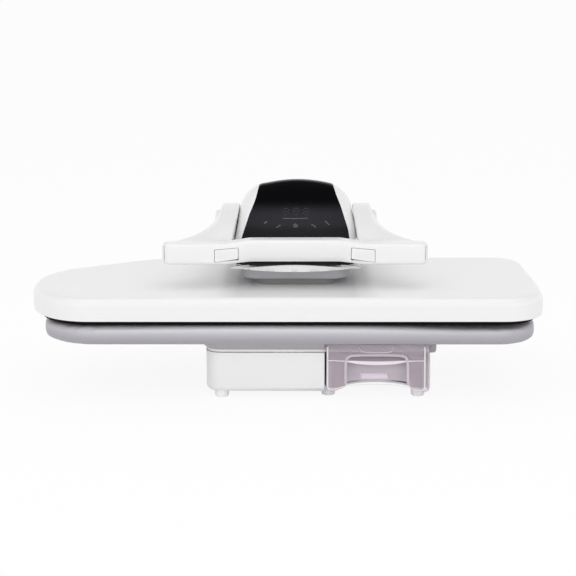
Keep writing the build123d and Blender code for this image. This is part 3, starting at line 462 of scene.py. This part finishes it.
def pale_clear_plastic(name, colour, alpha):
    """Clear plastic made pale and nearly opaque: painted highlights along the tank's edges and
    scoop border, and the scoop's pale field.
    """
    finish = Finish(name, colour, 0.12, Alpha=alpha, Coat_Weight=0.6, Coat_Roughness=0.04)
    flow = finish.cloud(finish.place(), 90.0, 2.0)
    finish.feed("Base Color", finish.blend(flow, shade(colour, 0.93), colour))
    finish.feed("Roughness", finish.spread(flow, 0.08, 0.18))
    return finish.material


def soft_rubber(name, colour, subsurface=0.0):
    """Rubber with a fine matt grain."""
    finish = Finish(name, colour, 0.6, Subsurface_Weight=subsurface)
    place = finish.place()
    grain = finish.cloud(place, 1100.0, 2.0)
    finish.feed("Base Color", finish.blend(finish.cloud(place, 60.0), shade(colour, 0.9), colour))
    finish.feed("Roughness", finish.spread(grain, 0.5, 0.72))
    finish.relief(grain, 0.08 * MM, 0.5)
    return finish.material


def lacquered_board():
    """Green circuit board with its copper tracks under the lacquer."""
    finish = Finish("lacquered_board", (0.02, 0.16, 0.07), 0.35, Coat_Weight=0.4)
    place = finish.place()
    values = {"Vector": place, "Scale": 160.0, "Distortion": 6.0, "Detail": 1.0}
    tracks = finish.field("ShaderNodeTexWave", {"bands_direction": "DIAGONAL"}, values) > 0.82
    finish.feed("Base Color", finish.blend(tracks, (0.015, 0.13, 0.055), (0.06, 0.30, 0.12)))
    return finish.material


def printed_marks(name, colour):
    """Thin print under the panel's gloss, a little uneven."""
    finish = Finish(name, colour, 0.3)
    uneven = finish.cloud(finish.place(), 300.0, 1.0)
    finish.feed("Base Color", finish.blend(uneven, shade(colour, 0.7), colour))
    finish.feed("Roughness", finish.spread(uneven, 0.22, 0.38))
    return finish.material


def make_finishes(colours):
    """Every finish by the name of the record's material slot."""
    return {
        "white_gloss": moulded_white(colours),
        "black_gloss": gloss_black(colours),
        # Dark grey, partly painted shade: on the pedestal's foot under the head it stands for the
        # shade there.
        "dark_plastic": matt_plastic("dark_plastic", (0.24, 0.24, 0.235), 0.55),
        "grey_plastic": matt_plastic("grey_plastic", (0.94, 0.94, 0.94), 0.5),
        "silver_plastic": matt_plastic("silver_plastic", (0.40, 0.39, 0.41), 0.42),
        "pan_steel": painted_pan(colours),
        "cover_cloth": coated_cloth(colours),
        "foam": soft_core("foam", (0.70, 0.66, 0.52)),
        "felt": soft_core("felt", (0.66, 0.66, 0.62)),
        "sole_coating": sole_coat(),
        "aluminium": worked_metal("aluminium", (0.72, 0.72, 0.74), 0.38, (1.0, 0.3, 1.0)),
        "steel": worked_metal("steel", (0.56, 0.57, 0.59), 0.32, (0.05, 1.0, 1.0)),
        "brass": worked_metal("brass", (0.74, 0.55, 0.25), 0.3, (1.0, 1.0, 0.1)),
        "tank_clear": clear_tank(colours),
        "tank_edge_highlight": pale_clear_plastic("tank_edge_highlight", (0.95, 0.90, 0.95), 0.9),
        "tank_band_highlight": pale_clear_plastic("tank_band_highlight", (0.80, 0.72, 0.79), 0.55),
        "tank_field": pale_clear_plastic("tank_field", (0.95, 0.87, 0.97), 0.9),
        "foot_rubber": soft_rubber("foot_rubber", (0.97, 0.96, 0.97)),
        "hose_rubber": soft_rubber("hose_rubber", (0.80, 0.80, 0.76), 0.2),
        "circuit_board": lacquered_board(),
        "display_glass": matt_plastic("display_glass", (0.02, 0.02, 0.022), 0.2),
        "black_rubber": soft_rubber("black_rubber", (0.02, 0.02, 0.02)),
        "key_print": printed_marks("key_print", colours.marks),
        "digit_print": printed_marks("digit_print", colours.display),
    }


def finished_piece(bm, name, body, material, smooth=True):
    """Makes a piece of a bmesh, in its place, riding on a body of the press."""
    mesh = bpy.data.meshes.new(name)
    for face in bm.faces:
        face.smooth = smooth
    bm.to_mesh(mesh)
    bm.free()
    mesh.materials.append(bpy.data.materials[material])
    piece = bpy.data.objects.new(name, mesh)
    bpy.context.scene.collection.objects.link(piece)
    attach(piece, body)
    return piece


def board_corners(inset):
    """Plan corners of the board and their radii in metres, moved inwards from its outline."""
    outline = [(BOARD_LOW.x + x * MM, BOARD_LOW.y + y * MM, r * MM) for x, y, r in BOARD_CORNERS]
    moved = []
    for i, (x, y, radius) in enumerate(outline):
        here = Vector((x, y))
        back = (here - Vector(outline[i - 1][:2])).normalized()
        ahead = (Vector(outline[(i + 1) % len(outline)][:2]) - here).normalized()
        inward = Vector((-back.y - ahead.y, back.x + ahead.x))
        spot = here + inward * (inset / (1 + back.dot(ahead)))
        moved.append((spot.to_3d(), radius - inset))
    return moved


def board_plan(bm, inset, height, steps):
    """A closed ring of edges round the board's plan, each corner spun about its own centre."""
    corners = board_corners(inset)
    ends = []
    for i, (here, radius) in enumerate(corners):
        back = (corners[i - 1][0] - here).normalized()
        ahead = (corners[(i + 1) % len(corners)][0] - here).normalized()
        half = back.angle(ahead) / 2
        centre = here + (back + ahead).normalized() * (radius / math.sin(half))
        first = bm.verts.new(here + back * (radius / math.tan(half)))
        spun = bmesh.ops.spin(bm, geom=[first], cent=centre, axis=(0, 0, 1),
                              angle=math.pi - 2 * half, steps=steps, use_duplicate=False)
        last = [g for g in spun["geom_last"] if isinstance(g, bmesh.types.BMVert)][0]
        ends.append((first, last))
    for i, (first, _) in enumerate(ends):
        bm.edges.new((ends[i - 1][1], first))
    bmesh.ops.translate(bm, verts=bm.verts, vec=(0, 0, height))
    return bm.edges[:]


def rounded_board(sizes):
    """Closed form of the pad: the plan raised, and both rims rounded."""
    bm = bmesh.new()
    plan = board_plan(bm, sizes.swell, BOARD_LOW.z, 12)
    floor = bmesh.ops.contextual_create(bm, geom=plan)["faces"]
    raised = bmesh.ops.extrude_face_region(bm, geom=floor)["geom"]
    top = [g for g in raised if isinstance(g, bmesh.types.BMVert)]
    bmesh.ops.translate(bm, verts=top, vec=(0, 0, BOARD_HIGH.z - BOARD_LOW.z))
    bmesh.ops.recalc_face_normals(bm, faces=bm.faces)
    middle = (BOARD_LOW.z + BOARD_HIGH.z) / 2
    reach = 0.9 * (BOARD_HIGH.z - middle)
    for radius, side in ((sizes.lower_radius, -1), (sizes.upper_radius, 1)):
        rim = [edge for edge in bm.edges
               if all((vert.co.z - middle) * side > reach for vert in edge.verts)]
        bmesh.ops.bevel(bm, geom=rim, offset=radius, offset_type="OFFSET", segments=6,
                        profile=0.5, affect="EDGES", material=-1)
    return bm


def apply_modifiers(piece):
    """Makes the modified form the piece's own mesh."""
    graph = bpy.context.evaluated_depsgraph_get()
    done = bpy.data.meshes.new_from_object(piece.evaluated_get(graph))
    piece.modifiers.clear()
    piece.data = done


def weave_directions(mesh):
    """A UV map in metres whose threads run level on the top and round the sides."""
    layer = mesh.uv_layers.new(name="weave")
    for polygon in mesh.polygons:
        n = polygon.normal
        for corner in polygon.loop_indices:
            p = mesh.vertices[mesh.loops[corner].vertex_index].co
            if abs(n.z) > 0.7:
                layer.data[corner].uv = (p.x, p.y)
            elif abs(n.y) > abs(n.x):
                layer.data[corner].uv = (p.x, p.z)
            else:
                layer.data[corner].uv = (p.y, p.z)


def swell_cloth(piece, sizes):
    """Lets the filling press the cloth out, and keeps every point within the swell allowed."""
    still = [vert.co.copy() for vert in piece.data.vertices]
    held = piece.vertex_groups.new(name="on the tray")
    low = [i for i, co in enumerate(still) if co.z < BOARD_LOW.z + HELD_HEIGHT]
    held.add(low, 1.0, "REPLACE")
    cloth = piece.modifiers.new("cloth", "CLOTH")
    cloth.settings.use_pressure = True
    cloth.settings.uniform_pressure_force = sizes.pressure
    cloth.settings.effector_weights.gravity = 0
    cloth.settings.vertex_group_mass = held.name
    scene = bpy.context.scene
    for frame_number in range(1, CLOTH_FRAMES + 1):
        scene.frame_set(frame_number)
    apply_modifiers(piece)
    scene.frame_set(1)
    for vert, co in zip(piece.data.vertices, still):
        moved = vert.co - co
        if moved.length > sizes.swell:
            vert.co = co + moved.normalized() * sizes.swell


def fall(value, low, high):
    """1 below low and 0 above high, with a smooth turn between them."""
    share = min(1.0, max(0.0, (high - value) / (high - low)))
    return share * share * (3 - 2 * share)


def front_drop(p):
    """How far the cloth drawn over the pad's front edge presses it down, most at its right end."""
    right_end = 1 - fall(p.x, 90 * MM, 230 * MM)
    left_end = fall(p.x, -290 * MM, -240 * MM)
    depth = (1.4 + 2.2 * right_end + 1.0 * left_end) * MM
    return depth * fall(p.y, BOARD_LOW.y + 12 * MM, BOARD_LOW.y + 70 * MM)


def settle_cloth(piece, sizes):
    """Crowns the pad, wrinkles its cloth a little and keeps it under the hot plate."""
    middle = (BOARD_LOW + BOARD_HIGH) / 2
    size = BOARD_HIGH - BOARD_LOW
    for vert in piece.data.vertices:
        p = vert.co
        height = (p.z - BOARD_LOW.z) / size.z
        reach = 2 * abs(p.x - middle.x + CROWN_SHIFT) / size.x
        fold = noise.noise(p * FOLD_RATE)
        inward = Vector((p.x - middle.x, p.y - middle.y, 0)).normalized()
        side = max(0.0, 1 - (2 * height - 1) ** 2)
        p -= inward * (abs(fold) * sizes.wrinkle * side)
        p.z -= max(0.0, height) * (sizes.crown * reach ** 2 + sizes.wrinkle * 0.3 * (1 + fold))
        p.z -= max(0.0, height) * front_drop(p)
        p.z = min(p.z, PLATE_UNDERSIDE - PLATE_CLEARANCE)


def paint_edge_highlight(mesh):
    """Marks the share of painted highlight on the cloth: most round the upper edge, less at both
    ends.
    """
    layer = mesh.attributes.new("painted_highlight", "FLOAT", "POINT")
    for vert in mesh.vertices:
        lean = vert.normal.z
        if lean < TOP_LEAN:
            flank = min(1.0, max(0.0, (vert.co.z - FLANK_FOOT) / FLANK_RISE)) ** 2
            painted_highlight = max(flank, max(0.0, lean) ** 0.8)
        else:
            painted_highlight = max(0.25, (1 - lean) * 9.2)
        layer.data[vert.index].value = painted_highlight * (1 - 0.6 * abs(vert.normal.x))


class PRESS_OT_board_pad(bpy.types.Operator):
    """Padded board: crowned pad in its silver cloth, held on the tray"""

    bl_idname = "press.board_pad"
    bl_label = "Padded board"

    def execute(self, context):
        sizes = context.scene.press_board
        form = rounded_board(sizes)
        piece = finished_piece(form, "board_pad", "base", "coated_cloth")
        even = piece.modifiers.new("even cells", "REMESH")
        even.mode = "VOXEL"
        even.voxel_size = sizes.voxel
        soften = piece.modifiers.new("soften", "SMOOTH")
        soften.iterations = 2
        apply_modifiers(piece)
        swell_cloth(piece, sizes)
        settle_cloth(piece, sizes)
        shape = piece.modifiers.new("soft form", "SUBSURF")
        shape.levels = shape.render_levels = 1
        apply_modifiers(piece)
        weave_directions(piece.data)
        for polygon in piece.data.polygons:
            polygon.use_smooth = True
        paint_edge_highlight(piece.data)
        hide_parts("board_cover", "board_foam")
        return {"FINISHED"}


# Size of the cells into which a part is cut before it is bent.
BEND_CELL = 7 * MM


def cut_into_cells(bm, cell):
    """Cuts the form by level and upright planes, so that it can bend evenly."""
    for axis in range(3):
        places = [vert.co[axis] for vert in bm.verts]
        for k in range(1, int((max(places) - min(places)) / cell)):
            spot, normal = Vector(), Vector()
            spot[axis] = min(places) + k * cell
            normal[axis] = 1
            bmesh.ops.bisect_plane(bm, geom=bm.verts[:] + bm.edges[:] + bm.faces[:],
                                   dist=0.01 * MM, plane_co=spot, plane_no=normal)


def drawn_part(node, body, material, draw, cell=0):
    """A copy of a moulded part with its points moved a little, standing for that part."""
    bm = bmesh.new()
    bm.from_mesh(NODES[node].data)
    bmesh.ops.remove_doubles(bm, verts=bm.verts, dist=0.001 * MM)
    if cell:
        cut_into_cells(bm, cell)
    for vert in bm.verts:
        vert.co += draw(vert.co) * MM
    piece = finished_piece(bm, "drawn_" + node, body, material)
    piece.data.set_sharp_from_angle(angle=math.radians(32))
    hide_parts(node)


# Underside and height of the head's brim as it is carried over, in millimetres, and its half width.
BRIM_LOW, BRIM_HEIGHT = 152, 11
BRIM_REACH = 83 * MM


# Each of the next functions says how far a point of a part is moved, in millimetres.
def base_edge(p):
    """The base reaches down to just above the feet and leaves a narrow joint under its deck."""
    lower = fall(p.z, 15 * MM, 32 * MM)
    upper = 1 - fall(p.z, 57 * MM, 60 * MM)
    return Vector((0, 0, -3.0 * lower - 1.2 * upper))


def deck_edges(p):
    """The deck is a little taller, down to the joint and up to the collar."""
    upper = 1 - fall(p.z, 60.6 * MM, 62.6 * MM)
    return Vector((0, 0, -0.5 + 1.5 * upper))


def grip_lip(p):
    """The grip's raised middle ends in a deeper lip that turns inwards."""
    middle = fall(abs(p.x - HEAD_X), 52 * MM, 84 * MM) * fall(p.y, -88 * MM, -80 * MM)
    low = fall(p.z, 175.5 * MM, 181 * MM) * middle
    front = fall(p.y, -112 * MM, -100 * MM)
    return Vector((0, 5.0 * low * front, -3.9 * low))


def panel_lean(p):
    """The panel's left edge leans in at the top and its right edge out at the bottom."""
    across = p.x - HEAD_X
    half_width = 36 * MM + (248 * MM - p.z) * 0.7
    near = fall(abs(across), half_width + 2 * MM, half_width + 16 * MM)
    near *= fall(p.y, 45 * MM, 80 * MM)
    near *= 1 - fall(p.z, 186 * MM, 200 * MM)
    right_share = 1 - fall(across, -30 * MM, 30 * MM)
    left = 3.5 * (1 - fall(p.z, 212 * MM, 244 * MM))
    right = 1.9 * fall(p.z, 224 * MM, 242 * MM)
    return Vector((((1 - right_share) * left + right_share * right) * near, 0, 0))


def head_form(p):
    """The chin's brim is a thin lens in front view, with its ends thinned out."""
    reach = min(1.0, abs(p.x - HEAD_X) / BRIM_REACH) ** 2
    low = 155.8 + 0.7 * reach
    high = 164.6 - 5.6 * reach
    share = min(1.0, max(0.0, (p.z / MM - BRIM_LOW) / BRIM_HEIGHT))
    brim = low + share * (high - low) - BRIM_LOW - share * BRIM_HEIGHT
    return panel_lean(p) + Vector((0, 0, brim * fall(p.z, 163.5 * MM, 184 * MM)))


def step_top(p):
    """The step reaches up to the brim."""
    upper = 1 - fall(p.z, 147 * MM, 151 * MM)
    return Vector((0, 0, 3.6 * upper))


class PRESS_OT_drawn_parts(bpy.types.Operator):
    """Base, deck, grip, head, panel and step with their edges drawn to the places seen"""

    bl_idname = "press.drawn_parts"
    bl_label = "Drawn edges"

    def execute(self, context):
        drawn_part("base_shell", "base", "moulded_white", base_edge)
        drawn_part("base_deck", "base", "moulded_white", deck_edges)
        drawn_part("handle_shell", "lever", "moulded_white", grip_lip)
        drawn_part("handle_underside", "lever", "moulded_white", grip_lip)
        drawn_part("head_housing", "head", "moulded_white", head_form, BEND_CELL)
        drawn_part("control_panel", "head", "gloss_black", panel_lean, BEND_CELL)
        drawn_part("pedestal_step", "head", "grey_plastic", step_top)
        return {"FINISHED"}


# The painted shade strip's half width, its front and back, its height in the middle, and its
# thickness.
STRIP_REACH = 58 * MM
STRIP_FRONT, STRIP_BACK = -103.5 * MM, -86 * MM
STRIP_TOP = 165.3 * MM
STRIP_THICKNESS = 0.8 * MM


class PRESS_OT_slot_shade_strip(bpy.types.Operator):
    """Black strip along the panel's foot, painted shade for the dark slot under the grip"""

    bl_idname = "press.panel_seal"
    bl_label = "Panel seal"

    def execute(self, context):
        bm = bmesh.new()
        bmesh.ops.create_grid(bm, x_segments=32, y_segments=4, size=0.5)
        for vert in bm.verts:
            across, back = vert.co.x * 2, vert.co.y + 0.5
            front = STRIP_FRONT + 9 * MM * across ** 4
            vert.co.x = HEAD_X + across * STRIP_REACH
            vert.co.y = front + back * (STRIP_BACK - front)
            vert.co.z = STRIP_TOP - 2.6 * MM * across ** 2
        bmesh.ops.solidify(bm, geom=bm.faces[:], thickness=STRIP_THICKNESS)
        bmesh.ops.recalc_face_normals(bm, faces=bm.faces)
        # Painted shade: a black strip laid on the brim's top where the slot under the grip is dark.
        finished_piece(bm, "panel_seal", "head", "black_rubber")
        return {"FINISHED"}


def surface_of(node):
    """The surface of a part as it is shown, for laying marks on it."""
    graph = bpy.context.evaluated_depsgraph_get()
    shown = bpy.data.objects.get("drawn_" + node) or NODES[node]
    return BVHTree.FromObject(shown, graph)


def edge_lines(name, lines, material):
    """Rounded lines on the tank's face: each point has its place and half width in millimetres."""
    curve = bpy.data.curves.new(name, "CURVE")
    curve.dimensions = "3D"
    curve.bevel_depth = 1 * MM
    curve.bevel_resolution = 2
    curve.use_fill_caps = True
    for line in lines:
        spline = curve.splines.new("NURBS")
        spline.points.add(len(line) - 1)
        for point, (x, z, half) in zip(spline.points, line):
            point.co = (x * MM, TANK_FACE_Y, z * MM, 1)
            point.radius = half
        spline.order_u = 3
        spline.use_endpoint_u = True
        spline.resolution_u = 6
    maker = bpy.data.objects.new(name, curve)
    bpy.context.scene.collection.objects.link(maker)
    graph = bpy.context.evaluated_depsgraph_get()
    drawn = bpy.data.meshes.new_from_object(maker.evaluated_get(graph))
    bpy.data.objects.remove(maker)
    bm = bmesh.new()
    bm.from_mesh(drawn)
    for vert in bm.verts:
        vert.co.y = (vert.co.y + TANK_FACE_Y) / 2
    finished_piece(bm, name, "water_tank", material)


# Painted highlights along the edges of the tank's face: the place of each point across and up, and
# the half width there.
RIM_LINES = (
    # round the outside
    ((53.6, 67.5, 0.9), (53.6, 40.0, 1.0), (53.6, 18.0, 1.0), (53.8, 13.6, 0.9),
     (58.0, 12.6, 0.8), (66.0, 13.6, 0.6), (75.3, 16.9, 0.5), (87.8, 18.7, 0.4),
     (115.3, 19.5, 0.4), (137.9, 18.7, 0.4), (154.1, 15.9, 0.5), (164.0, 12.2, 0.7),
     (171.0, 10.8, 0.9), (175.0, 12.6, 1.0), (175.0, 18.0, 1.0), (174.8, 40.0, 1.0),
     (174.6, 67.5, 0.9)),
    # the pull lip across the scoop
    ((54.6, 50.1, 0.6), (66.0, 49.8, 0.6), (76.0, 49.2, 0.8), (84.0, 48.6, 1.7),
     (94.0, 47.3, 2.4), (115.1, 46.5, 2.8), (136.3, 47.3, 2.4), (146.0, 48.6, 1.7),
     (154.0, 49.2, 0.8), (164.0, 49.6, 0.6), (173.6, 49.7, 0.6)),
    # the tab at the top
    ((92.5, 67.0, 0.4), (93.4, 63.1, 0.6), (98.8, 60.9, 0.8), (115.0, 60.1, 0.9),
     (131.1, 60.9, 0.8), (135.0, 63.1, 0.6), (135.6, 67.0, 0.4)),
)
# A painted highlight along the arch round the scoop.
ARCH_LINE = (
    (76.0, 20.4, 1.9), (75.8, 40.0, 1.9), (76.2, 50.4, 1.9), (79.5, 55.6, 1.9),
    (88.0, 56.8, 1.9), (115.0, 57.2, 1.9), (142.0, 56.8, 1.9), (150.0, 55.6, 1.9),
    (153.2, 50.4, 1.9), (153.9, 40.0, 1.9), (154.1, 19.1, 1.9),
)
# Corners of the flat field at the back of the tank's scoop, across and up.
SCOOP_FIELD = ((94.6, 16.1), (131.8, 16.1), (128.5, 28.8), (94.5, 28.8))
# How far that field stands off the scoop.
FIELD_LIFT = 0.4 * MM


def scoop_field(material):
    """A flat pale field laid on the back of the scoop."""
    bm = bmesh.new()
    bmesh.ops.create_grid(bm, x_segments=10, y_segments=5, size=0.5)
    surface = surface_of("tank_shell")
    corners = [Vector((x * MM, z * MM)) for x, z in SCOOP_FIELD]
    low_left, low_right, high_right, high_left = corners
    for vert in bm.verts:
        across, up = vert.co.x + 0.5, vert.co.y + 0.5
        spot = low_left.lerp(low_right, across).lerp(high_left.lerp(high_right, across), up)
        start = Vector((spot.x, BEFORE_PRESS, spot.y))
        hit, _, _, _ = surface.ray_cast(start, Vector((0, 1, 0)))
        if hit is None:
            raise RuntimeError("the scoop's field lies outside the tank")
        vert.co = hit - Vector((0, FIELD_LIFT, 0))
    finished_piece(bm, "tank_scoop_field", "water_tank", material)


class PRESS_OT_tank_edges(bpy.types.Operator):
    """Painted highlights on the edges, lip and scoop border of the water tank's face"""

    bl_idname = "press.tank_edges"
    bl_label = "Tank edges"

    def execute(self, context):
        # Painted highlights: pale, nearly opaque lines along the tank's edges, lip, tab and scoop
        # border.
        edge_lines("tank_rim_highlights", RIM_LINES, "tank_edge_highlight")
        edge_lines("tank_scoop_border_highlight", (ARCH_LINE,), "tank_band_highlight")
        scoop_field("tank_field")
        return {"FINISHED"}


def lay_on(bm, surface, lift):
    """Drops flat marks onto the surface below them."""
    for vert in bm.verts:
        above = Vector((vert.co.x, vert.co.y, ABOVE_PRESS))
        spot, normal, _, _ = surface.ray_cast(above, Vector((0, 0, -1)))
        if spot is None:
            raise RuntimeError("a mark lies outside the panel")
        if normal.z < 0:
            normal = -normal
        vert.co = spot + normal * lift


def bar(bm, start, end, width):
    """A flat stroke between two plan points, in short lengths that can follow the panel."""
    start, end = Vector(start), Vector(end)
    along = end - start
    made = bmesh.ops.create_grid(bm, x_segments=max(1, round(along.length / (1.5 * MM))),
                                 y_segments=1, size=0.5)["verts"]
    shape = Matrix.Translation(((start + end) / 2).to_3d())
    shape = shape @ Matrix.Rotation(math.atan2(along.y, along.x), 4, "Z")
    shape = shape @ Matrix.Diagonal((along.length, width, 1, 1))
    bmesh.ops.transform(bm, matrix=shape, verts=made)


def stroke(bm, points, width):
    """A line of bars through plan points."""
    for start, end in zip(points, points[1:]):
        bar(bm, start, end, width)


def dot(bm, centre, radius):
    """A flat printed dot."""
    made = bmesh.ops.create_circle(bm, cap_ends=True, radius=radius, segments=8)["verts"]
    bmesh.ops.translate(bm, verts=made, vec=(*centre, 0))


def resting_digit(bm, centre, sizes):
    """The seven strokes of one digit, drawn in plan."""
    w = sizes.digit_width / 2 - sizes.stroke / 2
    h = sizes.digit_height / 2 - sizes.stroke / 2
    x, y = centre
    gap = sizes.stroke * 0.62
    for level in (-h, 0, h):
        bar(bm, (x - w + gap, y + level), (x + w - gap, y + level), sizes.stroke)
    for side in (-w, w):
        bar(bm, (x + side, y + gap), (x + side, y + h - gap), sizes.stroke)
        bar(bm, (x + side, y - gap), (x + side, y - h + gap), sizes.stroke)


# Plan place of the middle digit.
DIGITS_MIDDLE = (HEAD_X + 0.4 * MM, -21.4 * MM)


class PRESS_OT_display_digits(bpy.types.Operator):
    """Three resting digits of the temperature display, all their strokes unlit"""

    bl_idname = "press.display_digits"
    bl_label = "Display digits"

    def execute(self, context):
        sizes = context.scene.press_panel
        bm = bmesh.new()
        for place in (-1, 0, 1):
            across = DIGITS_MIDDLE[0] + place * sizes.digit_pitch
            resting_digit(bm, (across, DIGITS_MIDDLE[1]), sizes)
        lay_on(bm, surface_of("control_panel"), sizes.lift)
        finished_piece(bm, "display_digits", "head", "digit_print", smooth=False)
        return {"FINISHED"}


# Each touch key's sign as strokes: millimetres from the head's middle plane, and the frame's y.
KEY_SIGNS = (
    ((-40.6, -34.6), (-38.6, -31.8), (-36.6, -33.6)),
    ((-24.6, -40.6), (-21.6, -39.4), (-19.4, -37.6)),
    ((-1.6, -37.4), (-2.2, -40.6), (2.4, -40.6), (1.8, -37.4)),
    ((0.1, -36.4), (0.1, -39.0)),
    ((20.6, -37.4), (23.6, -38.2), (26.2, -40.8)),
    ((38.2, -31.6), (41.0, -33.4), (43.4, -36.2)),
)


# Widths of a sign's strokes and of the line over the keys.
SIGN_STROKE, LINE_STROKE = 1.1 * MM, 0.8 * MM
# The dotted dial: its middle in plan, its half width and half height, its dots and their radius.
DIAL_MIDDLE = (HEAD_X + 1.0 * MM, -40.3 * MM)
DIAL_REACH, DIAL_RISE = 20 * MM, 8.6 * MM
DIAL_DOTS, DOT_RADIUS = 28, 0.5 * MM


class PRESS_OT_touch_keys(bpy.types.Operator):
    """Signs of the five touch keys, the line over them and the dotted dial round the middle one"""

    bl_idname = "press.touch_keys"
    bl_label = "Touch keys"

    def execute(self, context):
        sizes = context.scene.press_panel
        bm = bmesh.new()
        for sign in KEY_SIGNS:
            stroke(bm, [(HEAD_X + u * MM, y * MM) for u, y in sign], SIGN_STROKE)
        line = [(HEAD_X + k * 2.0 * MM, (-30.3 + 0.012 * k * k) * MM) for k in range(-8, 9)]
        stroke(bm, line, LINE_STROKE)
        lay_on(bm, surface_of("control_panel"), sizes.lift)
        finished_piece(bm, "touch_keys", "head", "key_print", smooth=False)

        bm = bmesh.new()
        for k in range(DIAL_DOTS):
            angle = 2 * math.pi * k / DIAL_DOTS
            dot(bm, (DIAL_MIDDLE[0] + math.cos(angle) * DIAL_REACH,
                     DIAL_MIDDLE[1] + math.sin(angle) * DIAL_RISE), DOT_RADIUS)
        lay_on(bm, surface_of("control_panel"), sizes.lift)
        finished_piece(bm, "touch_dial", "head", "digit_print", smooth=False)
        return {"FINISHED"}


class PRESS_OT_dress_parts(bpy.types.Operator):
    """Gives every carried-over part the finish of its material"""

    bl_idname = "press.dress_parts"
    bl_label = "Finishes"

    def execute(self, context):
        finishes = make_finishes(context.scene.press_colours)
        for part in frame["record"]["subparts"]:
            node = NODES[part["node"]]
            node.data.materials.clear()
            node.data.materials.append(finishes[part["material_slot"]])
        return {"FINISHED"}


def seen_directly(shading):
    """1 for what the camera, gloss or clear parts look at, and 0 for light on the press."""
    rays = shading.node("ShaderNodeLightPath", {}, {}).outputs
    names = ("Is Camera Ray", "Is Glossy Ray", "Is Transmission Ray")
    camera, glossy, clear = (Field(shading, rays[name]) for name in names)
    return camera.math("MAXIMUM", camera.math("MAXIMUM", camera, glossy), clear)


def studio_paper():
    """White paper that keeps the press's shadow and melts into the white room."""
    finish = Finish("studio_paper", (0.9, 0.9, 0.9), 0.9)
    white = finish.field("ShaderNodeEmission", {}, {})
    paper = Field(finish, finish.shader.outputs[0])
    share = seen_directly(finish) * 0.9
    seen = finish.field("ShaderNodeMixShader", {}, {0: share, 1: paper, 2: white})
    finish.join(seen, finish.tree.nodes["Material Output"], "Surface")
    return finish.material


def studio_world(room_light):
    """White all round at eye level, fading to a dark ceiling."""
    world = bpy.data.worlds.new("studio")
    world.use_nodes = True
    room = Shading(world.node_tree)
    up = room.axes(room.field("ShaderNodeTexCoord", {}, {}, "Generated"))[2]
    stops = ((0.22, (1, 1, 1, 1)), (0.62, (0.06, 0.06, 0.065, 1)))
    walls = room.field("ShaderNodeValToRGB", {"stops": stops}, [up])
    seen = room.blend(seen_directly(room), (room_light, room_light, room_light), walls)
    room.join(seen, room.tree.nodes["Background"], "Color")
    return world


def soft_lamp(name, place, size, power):
    """A large soft lamp aimed at the lower part of the press."""
    data = bpy.data.lights.new(name, "AREA")
    data.shape = "RECTANGLE"
    data.size, data.size_y = size
    data.energy = power
    lamp = bpy.data.objects.new(name, data)
    lamp.location = place
    towards = Vector((0, 0, 0.1)) - Vector(place)
    lamp.rotation_euler = towards.to_track_quat("-Z", "Y").to_euler()
    bpy.context.scene.collection.objects.link(lamp)


# Half the width of the studio's floor.
FLOOR_REACH = 60.0


class PRESS_OT_stage(bpy.types.Operator):
    """Pale floor, soft studio light and the camera"""

    bl_idname = "press.stage"
    bl_label = "Studio"

    def execute(self, context):
        settings = context.scene.press_stage
        bm = bmesh.new()
        bmesh.ops.create_grid(bm, x_segments=1, y_segments=1, size=FLOOR_REACH)
        mesh = bpy.data.meshes.new("floor")
        bm.to_mesh(mesh)
        bm.free()
        mesh.materials.append(studio_paper())
        floor = bpy.data.objects.new("floor", mesh)
        context.scene.collection.objects.link(floor)
        context.scene.world = studio_world(settings.room_light)

        soft_lamp("key", (0.0, -0.78, 1.6), (2.2, 1.5), settings.key_power)
        for name, x in (("fill_left", -1.2), ("fill_right", 1.2)):
            soft_lamp(name, (x, -2.0, 0.45), (1.2, 0.6), settings.fill_power)

        data = bpy.data.cameras.new("camera")
        data.lens = settings.lens
        data.sensor_width = 36.0
        camera = bpy.data.objects.new("camera", data)
        aim = Matrix.Rotation(settings.camera_yaw, 4, "Z")
        aim = aim @ Matrix.Rotation(math.pi / 2 - settings.camera_pitch, 4, "X")
        aim = aim @ Matrix.Rotation(settings.camera_roll, 4, "Z")
        camera.matrix_world = Matrix.Translation(settings.camera_place) @ aim
        context.scene.collection.objects.link(camera)
        context.scene.camera = camera
        context.scene.view_settings.view_transform = "Standard"
        return {"FINISHED"}


OPERATORS = (
    PRESS_OT_stage,
    PRESS_OT_dress_parts,
    PRESS_OT_board_pad,
    PRESS_OT_drawn_parts,
    PRESS_OT_slot_shade_strip,
    PRESS_OT_tank_edges,
    PRESS_OT_display_digits,
    PRESS_OT_touch_keys,
)


class PRESS_PT_pieces(bpy.types.Panel):
    """Lists what can be made"""

    bl_label = "Ironing press"
    bl_idname = "PRESS_PT_pieces"
    bl_space_type = "VIEW_3D"
    bl_region_type = "UI"
    bl_category = "Press"

    def draw(self, context):
        for operator in OPERATORS:
            self.layout.operator(operator.bl_idname)


GROUPS = {
    "press_colours": PressColours,
    "press_board": BoardSizes,
    "press_panel": PanelSizes,
    "press_stage": StageSettings,
}


def register():
    for group in GROUPS.values():
        bpy.utils.register_class(group)
    for operator in OPERATORS:
        bpy.utils.register_class(operator)
    bpy.utils.register_class(PRESS_PT_pieces)
    for name, group in GROUPS.items():
        setattr(bpy.types.Scene, name, PointerProperty(type=group))


def unregister():
    for name in GROUPS:
        delattr(bpy.types.Scene, name)
    bpy.utils.unregister_class(PRESS_PT_pieces)
    for operator in reversed(OPERATORS):
        bpy.utils.unregister_class(operator)
    for group in reversed(list(GROUPS.values())):
        bpy.utils.unregister_class(group)


def main():
    register()
    bpy.ops.press.stage()
    bpy.ops.press.dress_parts()
    bpy.ops.press.board_pad()
    bpy.ops.press.drawn_parts()
    bpy.ops.press.panel_seal()
    bpy.ops.press.tank_edges()
    bpy.ops.press.display_digits()
    bpy.ops.press.touch_keys()


if __name__ == "__main__":
    main()
